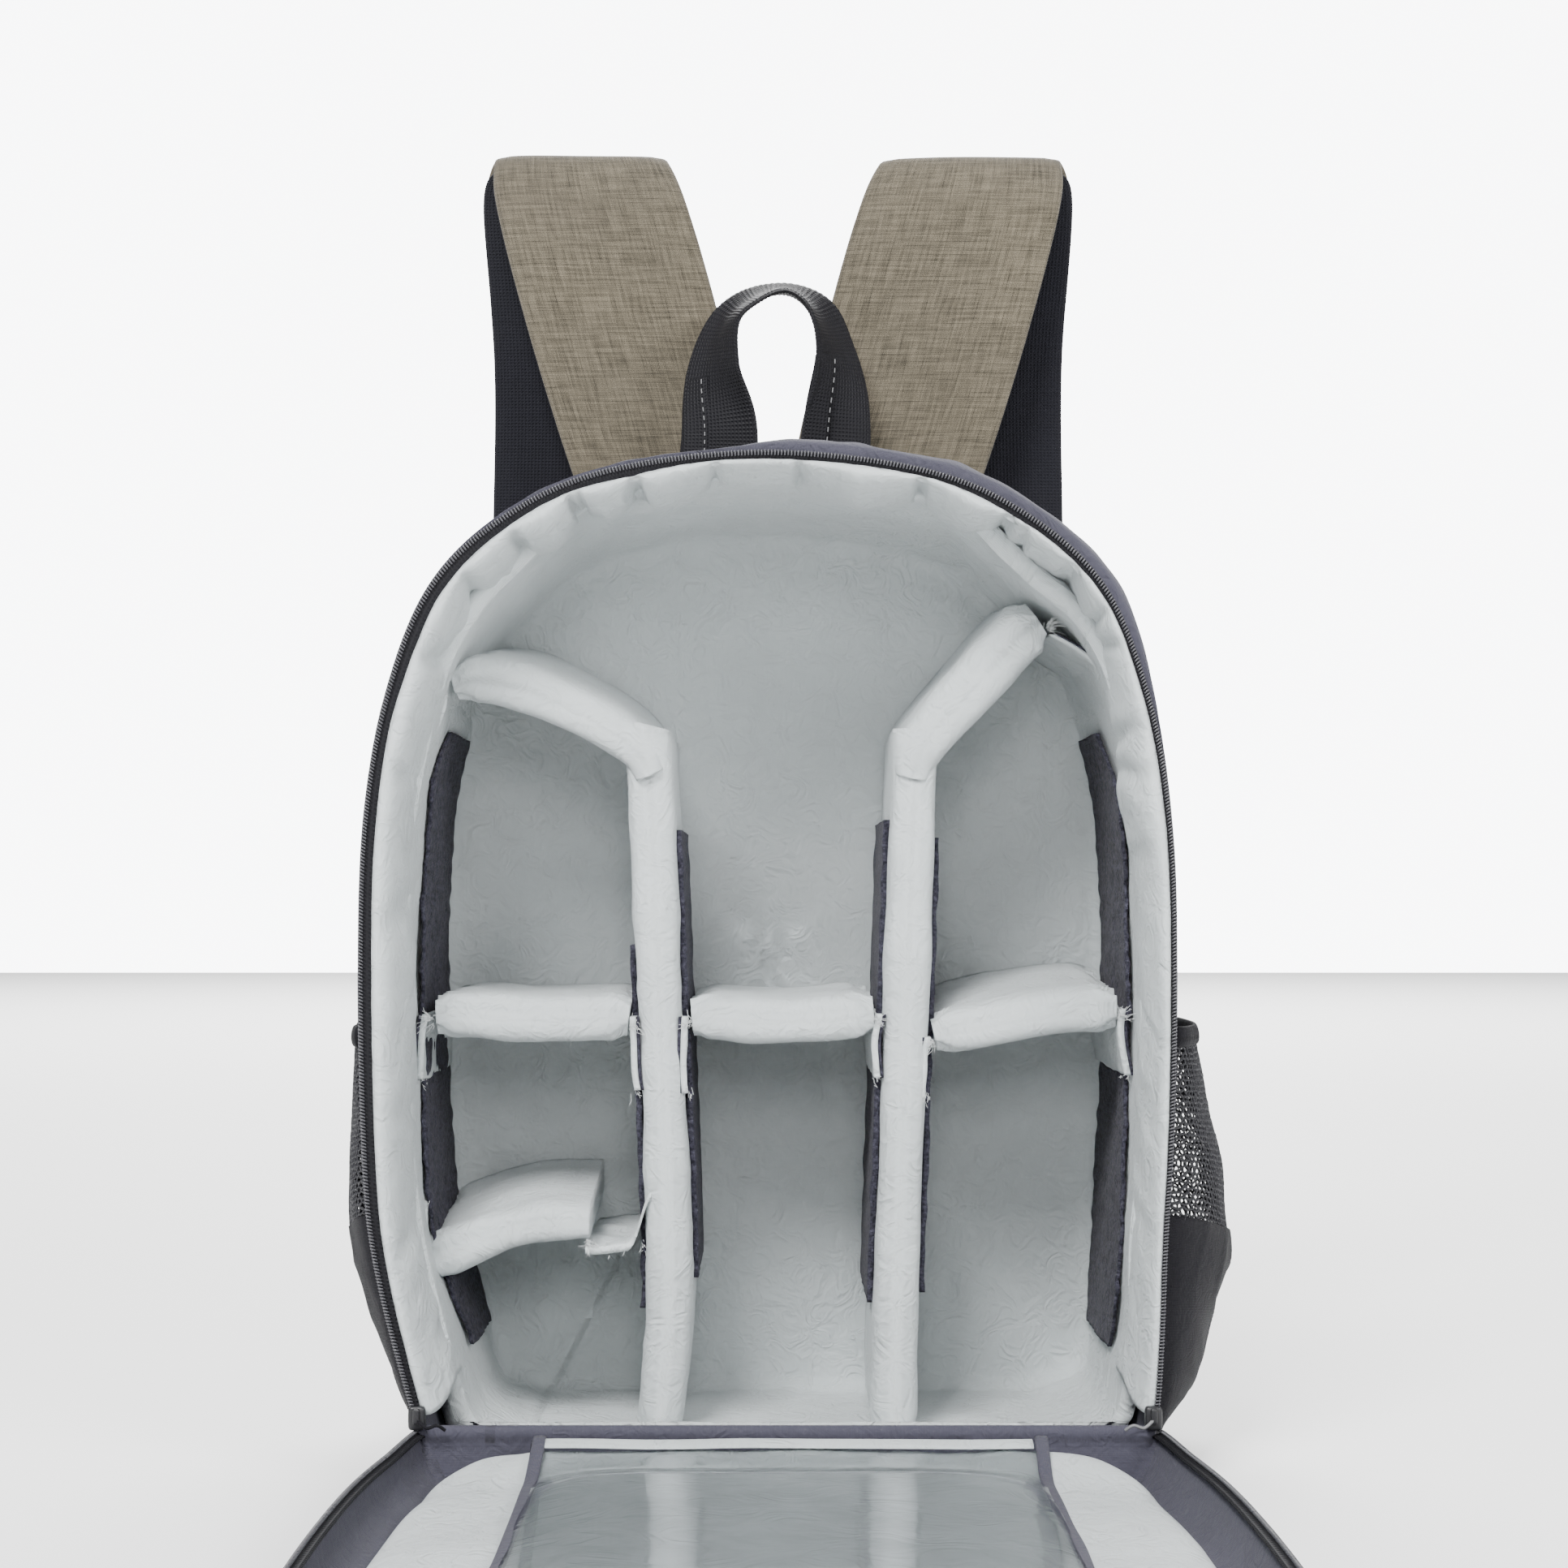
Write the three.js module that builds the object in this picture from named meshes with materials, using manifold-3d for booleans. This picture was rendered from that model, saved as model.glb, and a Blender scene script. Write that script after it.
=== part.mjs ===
// A clamshell camera backpack that stands open, its front flap laid down in front of it.
// Millimetres, +Z up, the opening faces -Y. The origin is on the surface below the base.
import * as THREE from 'three';
import { mergeVertices } from 'three/addons/utils/BufferGeometryUtils.js';
import Module from 'manifold-3d';

const wasm = await Module();
wasm.setup();

// Body
const bodyWidth = 309;        // across the opening at its widest
const bodyHeight = 392;       // surface to the top of the opening
const bodyDepth = 148;        // opening plane to the outer back face
const hingeHeight = 25;       // surface to the flap's hinge
const hingeClear = 4;         // from the hinge to where the zip and the rim begin
const footLean = 8;           // how far the foot stands to the right of the upper body
const leanEnd = 0.28;         // share of the height at which that lean has run out
const clothWall = 2;          // outer cloth
const padWall = 9;            // padded lining
const cavityRound = 1.2;       // rounding inside its back edge
const backTaper = 10;         // how much each side draws in at the back
const backRound = 12;         // rounding of the back edge
const gap = 0.4;              // clearance between pieces that touch

// Opening
const pipingRadius = 1.5;
const teethWidth = 2.6;
const teethHeight = 1.8;
const tapeWidth = 3;
const tapeThickness = 1;
const rimWidth = 8.6;         // how far the padded rim reaches in from the tape
const rimDepth = 44;          // how far it reaches back
const rimPad = 4.5;
const rimSlim = 0.6;          // share of the reach that is lost across the top
const scallopDepth = 7;       // how far the gathers of the rim rise and fall
const sliderLength = 9;
const sliderWidth = 6;
const sliderHeight = 5;

// Dividers
const dividerPad = 18;        // thickness of a padded divider
const dividerRoll = 16;       // depth of the rounded front edge
const tabPad = 2.6;           // thickness of a hook tab
const tabLength = 27;
const velvetPad = 1.6;
const velvetBottom = 55;      // where the loop bands on the side walls begin and end
const velvetTop = 286;

// Straps
const strapWidth = 79;
const strapReach = 36;        // how far the hanging part stands off behind the bag
const strapShift = 3.5;       // how far straps and handle sit to the right of the middle
const strapPad = 5;
const meshPad = 5;
const webbingWidth = 25;
const webbingPad = 2;
const handleWidth = 32;
const handlePad = 2.6;
const handleSpan = 48;
const handleRise = 89;
const handleInset = 24;       // from the outer back face to the handle's middle
const adjusterWidth = 32;
const adjusterPad = 5;
const backPad = 9;
const channelDepth = 4;

// Side pockets
const pocketTop = 174;
const pocketSplit = 82;       // where the solid panel meets the net
const pocketBottom = 14;
const splitRise = 20;         // how much higher that is at the front seam
const pocketBulge = 36;       // the right one, which is pulled open
const slackBulge = 17;        // the left one
const pocketWall = 1.6;
const hemHeight = 9;
const hemPad = 3;
const netColumns = 7;
const netRows = 5;
const netStrand = 3.2;

// Flap
const flapBorder = 11;        // how far the cloth border spreads around the panel
const flapRim = 19;           // height of its upper edge
const flapPad = 6;
const flapSlope = 40;         // how far from the hinge the panel comes down
const windowWidth = 192;
const windowLength = 300;
const windowPad = 1;
const windowRise = 9;         // how far it stands open
const cornerDrop = 22;        // rounding of the panel's corners at the hinge
const bindingWidth = 5;
const bindingPad = 1.6;

const halfWidth = bodyWidth / 2;
const frontY = -bodyDepth / 2;
const backY = bodyDepth / 2;
const shellInset = clothWall + gap;

// Outline of the opening, right half, from the foot to the top.
// half is a share of half the width, up is a share of the height.
const outlineRows = [
  { half: 0.745, up: 0 },
  { half: 0.862, up: 0.02 },
  { half: 0.906, up: 0.064 },
  { half: 0.96, up: 0.191 },
  { half: 0.99, up: 0.32 },
  { half: 1, up: 0.5 },
  { half: 0.988, up: 0.643 },
  { half: 0.935, up: 0.764 },
  { half: 0.827, up: 0.87 },
  { half: 0.64, up: 0.939 },
  { half: 0.392, up: 0.982 },
  { half: 0, up: 1 },
];

const rightSide = outlineRows.map((row) => new THREE.Vector2(row.half, row.up));
const leftSide = rightSide.slice(0, -1).map((point) => new THREE.Vector2(-point.x, point.y));
const outline = new THREE.SplineCurve([...leftSide, ...[...rightSide].reverse()]);
outline.arcLengthDivisions = 600;

const archSteps = 40;
const baseSteps = 4;
const ringSteps = archSteps + baseSteps;

const mix = (from, to, share) => from + (to - from) * share;
const clamp01 = (value) => Math.min(1, Math.max(0, value));
const ease = (value) => {
  const share = clamp01(value);
  return share * share * (3 - 2 * share);
};

// Looks up a value in rows that share a first column, with straight lines between them.
function lookUp(rows, key, name, value) {
  const last = rows.length - 1;
  if (value <= rows[0][key]) return rows[0][name];
  if (value >= rows[last][key]) return rows[last][name];
  const index = rows.findIndex((row) => row[key] >= value);
  const low = rows[index - 1];
  const high = rows[index];
  return mix(low[name], high[name], (value - low[key]) / (high[key] - low[key]));
}

// The arch share at which the outline reaches a height, on the left side.
function archShareAt(height) {
  let low = 0;
  let high = 0.5;
  for (let step = 0; step < 40; step += 1) {
    const middle = (low + high) / 2;
    if (outline.getPointAt(middle).y * bodyHeight < height) low = middle;
    else high = middle;
  }
  return (low + high) / 2;
}

const hingeShare = archShareAt(hingeHeight + hingeClear);

// How far the body lies to the right at a share of its height.
const leanAt = (up) => footLean * (1 - ease(up / leanEnd));

// A point of the body: share runs round the arch from the left foot to the right foot.
// inset is how far the piece lies inside the outline, floor is how far its base is raised.
function bodyPoint(share, y, inset, floor = inset) {
  const flat = outline.getPointAt(clamp01(share));
  const x = flat.x * (halfWidth - inset) + leanAt(flat.y);
  const z = floor + flat.y * (bodyHeight - inset - floor);
  return new THREE.Vector3(x, y, z);
}

// A point of a closed ring round the body: the arch first, then the flat base.
function ringPoint(step, y, insetAt, floor) {
  const share = Math.min(1, step / archSteps);
  const point = bodyPoint(share, y, insetAt(share), floor);
  if (step <= archSteps) return point;
  return point.lerp(bodyPoint(0, y, insetAt(0), floor), (step - archSteps) / baseSteps);
}

// Turns a geometry into a closed, outward-facing body with shared vertices.
function closeBody(geometry) {
  geometry.deleteAttribute('normal');
  geometry.deleteAttribute('uv');
  const merged = mergeVertices(geometry, 1e-4);
  const place = merged.attributes.position;
  const index = merged.index;
  const corners = [new THREE.Vector3(), new THREE.Vector3(), new THREE.Vector3()];
  let volume = 0;
  for (let i = 0; i < index.count; i += 3) {
    corners.forEach((corner, side) => corner.fromBufferAttribute(place, index.getX(i + side)));
    volume += corners[0].dot(corners[1].clone().cross(corners[2]));
  }
  if (volume < 0) {
    for (let i = 0; i < index.count; i += 3) {
      const first = index.getX(i);
      index.setX(i, index.getX(i + 1));
      index.setX(i + 1, first);
    }
  }
  return merged;
}

// A sheet or pad: a box of columns by rows whose two faces are placed by a function.
// place receives the column, the row and the face, 0 or 1.
function sheet(columns, rows, place) {
  const geometry = new THREE.BoxGeometry(columns, 1, rows, columns, 1, rows);
  const position = geometry.attributes.position;
  for (let i = 0; i < position.count; i += 1) {
    const column = Math.round(position.getX(i) + columns / 2);
    const row = Math.round(position.getZ(i) + rows / 2);
    const face = position.getY(i) > 0 ? 1 : 0;
    const point = place(column, row, face);
    position.setXYZ(i, point.x, point.y, point.z);
  }
  return closeBody(geometry);
}

// A cup: a sphere whose first pole is the middle of the outside and last pole that of the inside.
// place receives the ring step and the row.
function cup(steps, rows, place) {
  const geometry = new THREE.SphereGeometry(1, steps, rows);
  const position = geometry.attributes.position;
  for (let i = 0; i < position.count; i += 1) {
    const step = i % (steps + 1);
    const row = Math.floor(i / (steps + 1));
    const point = place(step % steps, row);
    position.setXYZ(i, point.x, point.y, point.z);
  }
  return closeBody(geometry);
}

function toManifold(geometry) {
  const mesh = new wasm.Mesh({
    numProp: 3,
    vertProperties: new Float32Array(geometry.attributes.position.array),
    triVerts: new Uint32Array(geometry.index.array),
  });
  return new wasm.Manifold(mesh);
}

function fromManifold(solid) {
  const mesh = solid.getMesh();
  const geometry = new THREE.BufferGeometry();
  geometry.setAttribute('position', new THREE.BufferAttribute(mesh.vertProperties, 3));
  geometry.setIndex(new THREE.BufferAttribute(mesh.triVerts, 1));
  return geometry;
}

// Joins overlapping bodies into one.
function join(geometries) {
  const solids = geometries.map(toManifold);
  return fromManifold(solids.reduce((whole, solid) => whole.add(solid)));
}

const materials = {
  shell: new THREE.MeshStandardMaterial({ color: 0x45444f, roughness: 0.85, metalness: 0 }),
  black: new THREE.MeshStandardMaterial({ color: 0x17161b, roughness: 0.8, metalness: 0 }),
  mesh: new THREE.MeshStandardMaterial({ color: 0x1b1a22, roughness: 0.95, metalness: 0 }),
  khaki: new THREE.MeshStandardMaterial({ color: 0x80745c, roughness: 0.9, metalness: 0 }),
  lining: new THREE.MeshStandardMaterial({ color: 0xc3cbcd, roughness: 0.55, metalness: 0 }),
  velvet: new THREE.MeshStandardMaterial({ color: 0x46434f, roughness: 1, metalness: 0 }),
  piping: new THREE.MeshStandardMaterial({ color: 0x55545f, roughness: 0.8, metalness: 0 }),
  teeth: new THREE.MeshStandardMaterial({ color: 0x2c2b31, roughness: 0.4, metalness: 0.1 }),
  plastic: new THREE.MeshStandardMaterial({ color: 0x151518, roughness: 0.5, metalness: 0 }),
  clear: new THREE.MeshStandardMaterial({ color: 0xdde3e6, roughness: 0.15, metalness: 0 }),
};

const backpack = new THREE.Group();

function addPiece(name, geometry, material) {
  const mesh = new THREE.Mesh(geometry, materials[material]);
  mesh.name = name;
  backpack.add(mesh);
}

// Body cloth and lining

const edgeY = frontY + 2 * pipingRadius + gap;
const teethInset = 2 * pipingRadius + gap;
const rimInset = teethInset + tapeWidth + gap;
const rimFrontY = frontY + pipingRadius;
const rimEndY = rimFrontY + rimDepth;
const cavityInset = rimInset + rimWidth;
const cavityFloor = shellInset + padWall;
const cavityBackY = backY - shellInset - padWall;
const liningY = edgeY + clothWall + gap;
const lipTop = hingeHeight - gap;
const sideYs = [frontY + 0.72 * bodyDepth, frontY + 0.3 * bodyDepth];

// The outer cloth draws in toward the back.
const taperAt = (y) => backTaper * clamp01((y - frontY) / bodyDepth) ** 2;

// The rim and the padding behind it are slimmer across the top of the arch.
const slimAt = (share) => ease((0.2 - Math.abs(share - 0.5)) / 0.1);
const rimWidthAt = (share) => rimWidth * (1 - rimSlim * slimAt(share));
const cavityInsetAt = (share) => rimInset + rimWidthAt(share);

// Rows round the rounded back edge of a wall that lies inside the outer face.
function backRows(wall) {
  const round = backRound - wall;
  const bends = [
    { y: backY - wall, edge: backRound },
    { y: backY - wall - 0.3 * round, edge: wall + 0.3 * round },
    { y: backY - backRound, edge: wall },
  ];
  return bends.map(({ y, edge }) => ({ y, insetAt: () => taperAt(y) + edge, floor: edge, lip: 0 }));
}

// The same edge with one bevel, for faces that lie between two layers.
function hiddenBackRows(wall) {
  const [back, , side] = backRows(wall);
  return [back, side];
}

function sideRow(y, wall, lip = 0) {
  return { y, insetAt: () => taperAt(y) + wall, floor: wall, lip };
}

// A tub whose outer rows run from the back to the front and whose inner rows run back again.
function bodyCup(outer, inner) {
  const rows = [...outer, ...inner];
  return cup(ringSteps, rows.length + 1, (step, row) => {
    const { y, insetAt, floor, lip } = rows[Math.min(rows.length - 1, Math.max(0, row - 1))];
    if (row === 0 || row === rows.length + 1) return new THREE.Vector3(0, y, bodyHeight / 2);
    const point = ringPoint(step, y, insetAt, floor);
    point.z = Math.max(point.z, lip);
    return point;
  });
}

function addShell() {
  const outer = [...backRows(0), ...sideYs.map((y) => sideRow(y, 0)), sideRow(edgeY, 0)];
  const inner = [
    sideRow(edgeY, clothWall, lipTop),
    sideRow(edgeY + clothWall, clothWall, lipTop),
    sideRow(edgeY + clothWall + gap / 2, clothWall),
    ...hiddenBackRows(clothWall).reverse(),
  ];
  addPiece('shell', bodyCup(outer, inner), 'shell');
}

// The rim is a padded strip that rolls from the tape into the cavity.
// turn is 0 at the tape and 1 in the cavity, depth is how far behind the visible face.
const rimTurns = [0, 0.36, 0.7, 1];

function rimSection(turn, depth, share) {
  const angle = turn * Math.PI / 2;
  const inset = rimInset + (rimWidthAt(share) - depth) * Math.sin(angle);
  const y = rimEndY - (rimDepth - depth) * Math.cos(angle);
  return { inset, y };
}

function addLining() {
  const wall = shellInset;
  const outer = [...hiddenBackRows(wall), sideRow(liningY, wall)];
  const behindRim = rimPad + 3 * gap;
  const slope = rimTurns.map((turn) => ({
    y: rimSection(turn, behindRim, 0).y,
    insetAt: (share) => rimSection(turn, behindRim, share).inset - gap,
    floor: cavityFloor * turn,
    lip: mix(lipTop, cavityFloor, turn),
  }));
  const step = slope[slope.length - 1];
  const round = cavityRound;
  const inner = [
    { y: liningY, insetAt: () => rimInset - 2 * gap, floor: 0, lip: lipTop },
    ...slope,
    { ...step, y: rimEndY + gap },
    { y: rimEndY + gap, insetAt: cavityInsetAt, floor: cavityFloor, lip: 0 },
    { y: cavityBackY - round, insetAt: cavityInsetAt, floor: cavityFloor, lip: 0 },
    {
      y: cavityBackY,
      insetAt: (share) => cavityInsetAt(share) + round,
      floor: cavityFloor + round,
      lip: 0,
    },
  ];
  addPiece('lining', bodyCup(outer, inner), 'lining');
}

// Shares of the arch from the hinge on the left over the top to the hinge on the right.
const archShares = [hingeShare];
for (let step = 1; step < archSteps; step += 1) {
  const share = step / archSteps;
  const inside = Math.min(share, 1 - share) - hingeShare;
  if (inside > 0.2 / archSteps) archShares.push(share);
}
archShares.push(1 - hingeShare);
const archSpans = archShares.length - 1;

// A point on the straight stretches between those shares, so that layers nest.
// column counts the stretches, and insetAt is worked out at their ends.
function archPoint(column, y, insetAt, floor) {
  const low = Math.min(archSpans - 1, Math.floor(column));
  const start = bodyPoint(archShares[low], y, insetAt(archShares[low]), floor);
  const end = bodyPoint(archShares[low + 1], y, insetAt(archShares[low + 1]), floor);
  return start.lerp(end, column - low);
}

// Gathers of the rim: where each fold is pulled toward the tape, and how strongly.
// at is a share of the rim's length, pull a share of the scallop depth.
const rimFolds = [
  { at: 0, pull: 0 },
  { at: 0.14, pull: 0.1 },
  { at: 0.2, pull: -0.1 },
  { at: 0.31, pull: 0.15 },
  { at: 0.345, pull: -0.4 },
  { at: 0.375, pull: 0.5 },
  { at: 0.41, pull: -0.5 },
  { at: 0.445, pull: 0.5 },
  { at: 0.5, pull: 0.2 },
  { at: 0.555, pull: -0.5 },
  { at: 0.59, pull: 0.5 },
  { at: 0.62, pull: -0.5 },
  { at: 0.655, pull: 0.5 },
  { at: 0.69, pull: -0.3 },
  { at: 0.72, pull: 0.2 },
  { at: 0.8, pull: -0.1 },
  { at: 0.88, pull: 0.1 },
  { at: 1, pull: 0 },
];

function addRim() {
  const perSpan = 2;
  const columns = archSpans * perSpan;
  const geometry = sheet(columns, rimTurns.length - 1, (step, row, face) => {
    const turn = rimTurns[row];
    const depth = face === 0 ? rimPad : 0;
    const column = step / perSpan;
    const { y } = rimSection(turn, depth, 0);
    const insetAt = (share) => rimSection(turn, depth, share).inset;
    const point = archPoint(column, y, insetAt, cavityFloor * turn);
    const pull = scallopDepth * lookUp(rimFolds, 'at', 'pull', step / columns) * turn ** 1.5;
    if (face === 0) return point;
    const outward = new THREE.Vector3(point.x / halfWidth, 0, point.z / bodyHeight - 0.5);
    return point.addScaledVector(outward.normalize(), pull);
  });
  addPiece('rim', geometry, 'lining');
}

// A flat strip that follows the arch, from one inset to another.
function archStrip(fromInset, toInset, fromY, toY) {
  return sheet(archSpans, 1, (column, row, face) => {
    const inset = row === 0 ? fromInset : toInset;
    return archPoint(column, face === 0 ? fromY : toY, () => inset, 0);
  });
}

// A round cord that follows the arch.
function archCord(centreInset, centreY, radius, sides) {
  const geometry = new THREE.CylinderGeometry(1, 1, archSpans, sides, archSpans);
  const position = geometry.attributes.position;
  for (let i = 0; i < position.count; i += 1) {
    const column = Math.round(position.getY(i) + archSpans / 2);
    const inset = centreInset + position.getX(i) * radius;
    const y = centreY + position.getZ(i) * radius;
    const point = archPoint(column, y, () => inset, 0);
    position.setXYZ(i, point.x, point.y, point.z);
  }
  return closeBody(geometry);
}

const tapeBack = edgeY - gap;
const teethBack = tapeBack - tapeThickness - gap;
const teethFront = teethBack - teethHeight;

function addZip() {
  const tapeEnd = teethInset + tapeWidth;
  const tape = archStrip(teethInset, tapeEnd, tapeBack - tapeThickness, tapeBack);
  addPiece('zip_tape', tape, 'black');
  const teethEnd = teethInset + teethWidth;
  addPiece('zip_teeth', archStrip(teethInset, teethEnd, teethFront, teethBack), 'teeth');
  addPiece('piping', archCord(pipingRadius, frontY + pipingRadius, pipingRadius, 5), 'piping');
  for (const side of [-1, 1]) {
    const slider = new THREE.BoxGeometry(sliderWidth, sliderHeight, sliderLength);
    const share = side < 0 ? hingeShare : 1 - hingeShare;
    const seat = bodyPoint(share, 0, teethInset + teethWidth / 2, 0);
    slider.translate(seat.x, teethFront - gap - sliderHeight / 2, seat.z + sliderLength / 2);
    addPiece(side < 0 ? 'slider_left' : 'slider_right', closeBody(slider), 'plastic');
  }
}

// Inside of the body

const dividerFrontY = rimEndY + gap;
const dividerBackY = cavityBackY - gap;

// The inner face of a side wall at a height, behind the rim. side is -1 or 1.
function wallX(height, side) {
  const up = (height - cavityFloor) / (bodyHeight - cavityInset - cavityFloor);
  const share = archShareAt(up * bodyHeight);
  const flat = outline.getPointAt(share);
  return side * -flat.x * (halfWidth - cavityInsetAt(share)) + leanAt(flat.y);
}

// Loop bands on the side walls. at is a share of the band, front and back are shares of the
// divider depth that the wavy edge gives up.
const velvetRows = [
  { at: 0, front: 0.3, back: 0.3 },
  { at: 0.12, front: 0.08, back: 0.05 },
  { at: 0.3, front: 0.02, back: 0.05 },
  { at: 0.45, front: 0.14, back: 0.05 },
  { at: 0.6, front: 0.03, back: 0.05 },
  { at: 0.75, front: 0.16, back: 0.05 },
  { at: 0.9, front: 0.05, back: 0.05 },
  { at: 1, front: 0.35, back: 0.3 },
];

function addVelvetWalls() {
  const rows = 9;
  for (const side of [-1, 1]) {
    const geometry = sheet(1, rows, (column, row, face) => {
      const at = row / rows;
      const height = mix(velvetBottom, velvetTop, at);
      const front = mix(dividerFrontY, dividerBackY, lookUp(velvetRows, 'at', 'front', at));
      const back = mix(dividerBackY, dividerFrontY, lookUp(velvetRows, 'at', 'back', at));
      const x = wallX(height, side) - side * (2 * gap + face * velvetPad);
      return new THREE.Vector3(x, column === 0 ? front : back, height);
    });
    addPiece(side < 0 ? 'velvet_wall_left' : 'velvet_wall_right', geometry, 'velvet');
  }
}

// Middle lines of the upright dividers, as shares of half the width and of the height.
const uprights = {
  left: [
    { up: 0.03, x: -0.28 },
    { up: 0.18, x: -0.252 },
    { up: 0.29, x: -0.259 },
    { up: 0.49, x: -0.28 },
    { up: 0.7, x: -0.304 },
    { up: 0.735, x: -0.306 },
  ],
  right: [
    { up: 0.03, x: 0.322 },
    { up: 0.33, x: 0.344 },
    { up: 0.57, x: 0.365 },
    { up: 0.7, x: 0.376 },
    { up: 0.735, x: 0.378 },
  ],
};

function uprightX(name, height) {
  return halfWidth * lookUp(uprights[name], 'up', 'x', height / bodyHeight);
}

// Rows across a divider from its rolled front edge to its back.
// back is a share of the roll depth, thick a share of the pad.
const rollRows = [
  { back: 0, thick: 0.36 },
  { back: 0.16, thick: 0.78 },
  { back: 0.5, thick: 1 },
  { back: 1, thick: 0.9 },
];

function rollRow(row, pad) {
  const roll = rollRows[row];
  if (!roll) return { y: dividerBackY, half: 0.45 * pad };
  return { y: dividerFrontY + roll.back * dividerRoll, half: roll.thick * pad / 2 };
}

const uprightTop = 0.735 * bodyHeight;
const uprightBottom = cavityFloor + cavityRound + gap;

function addUprights() {
  const steps = 8;
  for (const name of ['left', 'right']) {
    const geometry = sheet(steps, rollRows.length, (column, row, face) => {
      const height = mix(uprightBottom, uprightTop, column / steps);
      const { y, half } = rollRow(row, dividerPad);
      const x = uprightX(name, height) + (face === 0 ? -half : half);
      return new THREE.Vector3(x, y, height);
    });
    addPiece(`divider_${name}`, geometry, 'lining');
  }
}

// Loop strips on the faces of the upright dividers. from and to are shares of the height.
const stripRows = [
  { name: 'velvet_left_outer', upright: 'left', side: -1, from: 0.24, to: 0.52 },
  { name: 'velvet_left_inner', upright: 'left', side: 1, from: 0.18, to: 0.64 },
  { name: 'velvet_right_inner', upright: 'right', side: -1, from: 0.16, to: 0.65 },
  { name: 'velvet_right_outer', upright: 'right', side: 1, from: 0.17, to: 0.63 },
];

function addVelvetStrips() {
  const steps = 6;
  const stripFrontY = dividerFrontY + 1.2 * dividerRoll;
  for (const { name, upright, side, from, to } of stripRows) {
    const geometry = sheet(steps, 1, (column, row, face) => {
      const height = bodyHeight * mix(from, to, column / steps);
      const lift = dividerPad / 2 + gap / 2 + face * velvetPad;
      const x = uprightX(upright, height) + side * lift;
      return new THREE.Vector3(x, row === 0 ? stripFrontY : dividerBackY, height);
    });
    addPiece(name, geometry, 'velvet');
  }
}

// Dividers that lie between two of wall_left, left, right and wall_right.
// fromUp and toUp are the heights of the ends and arch the rise of the middle, as shares of the
// height. tilt is how much higher the back edge lies, and dropFrom and dropTo are the shares of
// the tab length that hang down at the ends, upward where they are negative.
const crossRows = [
  {
    name: 'divider_upper_left', from: 'wall_left', to: 'over_left', fromUp: 0.79, toUp: 0.768,
    arch: -0.002, tilt: 0.03, dropFrom: 0.9, dropTo: 0.9,
  },
  {
    name: 'divider_upper_right', from: 'over_right', to: 'wall_right', fromUp: 0.768, toUp: 0.845,
    arch: 0.008, tilt: 0.02, dropFrom: 0.9, dropTo: 0.8,
  },
  {
    name: 'divider_left_mid', from: 'wall_left', to: 'left', fromUp: 0.448, toUp: 0.445,
    arch: -0.003, tilt: 0, dropFrom: 1, dropTo: 1.1,
  },
  {
    name: 'divider_middle_mid', from: 'left', to: 'right', fromUp: 0.445, toUp: 0.452,
    arch: -0.006, tilt: 0, dropFrom: 1.1, dropTo: 1,
  },
  {
    name: 'divider_right_mid', from: 'right', to: 'wall_right', fromUp: 0.425, toUp: 0.452,
    arch: 0.004, tilt: 0.03, dropFrom: 1, dropTo: 0.95,
  },
  {
    name: 'divider_left_low', from: 'wall_left', to: 'left', fromUp: 0.205, toUp: 0.235,
    arch: 0.012, tilt: 0.04, dropFrom: -0.9, dropTo: 0.9,
  },
];

// Where a cross divider ends against a wall, against an upright divider or, for an end whose
// name starts with over, past the far side of the upright that it lies on.
function endX(name, side, height) {
  const clear = 2 * gap + velvetPad + gap;
  if (name.startsWith('wall')) return wallX(height, side) - side * clear;
  const reach = dividerPad / 2 + clear;
  if (name.startsWith('over')) return uprightX(name.slice(5), height) + side * (reach + tabPad);
  return uprightX(name, height) - side * reach;
}

function addCross({ name, from, to, fromUp, toUp, arch, tilt, dropFrom, dropTo }) {
  const steps = 5;
  const middleHeight = (share) => {
    const level = mix(fromUp, toUp, share) + arch * Math.sin(Math.PI * share);
    return bodyHeight * level;
  };
  const pad = sheet(steps, rollRows.length, (column, row, face) => {
    const share = column / steps;
    const { y, half } = rollRow(row, dividerPad);
    const back = (y - dividerFrontY) / (dividerBackY - dividerFrontY);
    const end = column === 0 || column === steps ? 0.7 : 1;
    const height = middleHeight(share) + tilt * bodyHeight * back;
    const lift = face === 0 ? -half * end : half * end;
    const start = endX(from, -1, height + lift);
    const finish = endX(to, 1, height + lift);
    return new THREE.Vector3(mix(start, finish, share), y, height + lift);
  });
  const tabs = [
    { place: from, side: -1, share: 0, drop: dropFrom },
    { place: to, side: 1, share: 1, drop: dropTo },
  ].map(({ place, side, share, drop }) => sheet(3, 1, (column, row, face) => {
    const y = row === 0 ? dividerFrontY + gap : dividerBackY - gap;
    const back = (y - dividerFrontY) / (dividerBackY - dividerFrontY);
    const centre = middleHeight(share) + tilt * bodyHeight * back;
    const height = centre + mix(Math.sign(drop) * 0.25 * dividerPad, -drop * tabLength, column / 3);
    return new THREE.Vector3(endX(place, side, height) - side * face * tabPad, y, height);
  }));
  addPiece(name, join([pad, ...tabs]), 'lining');
}

// Straps and handle

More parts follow.
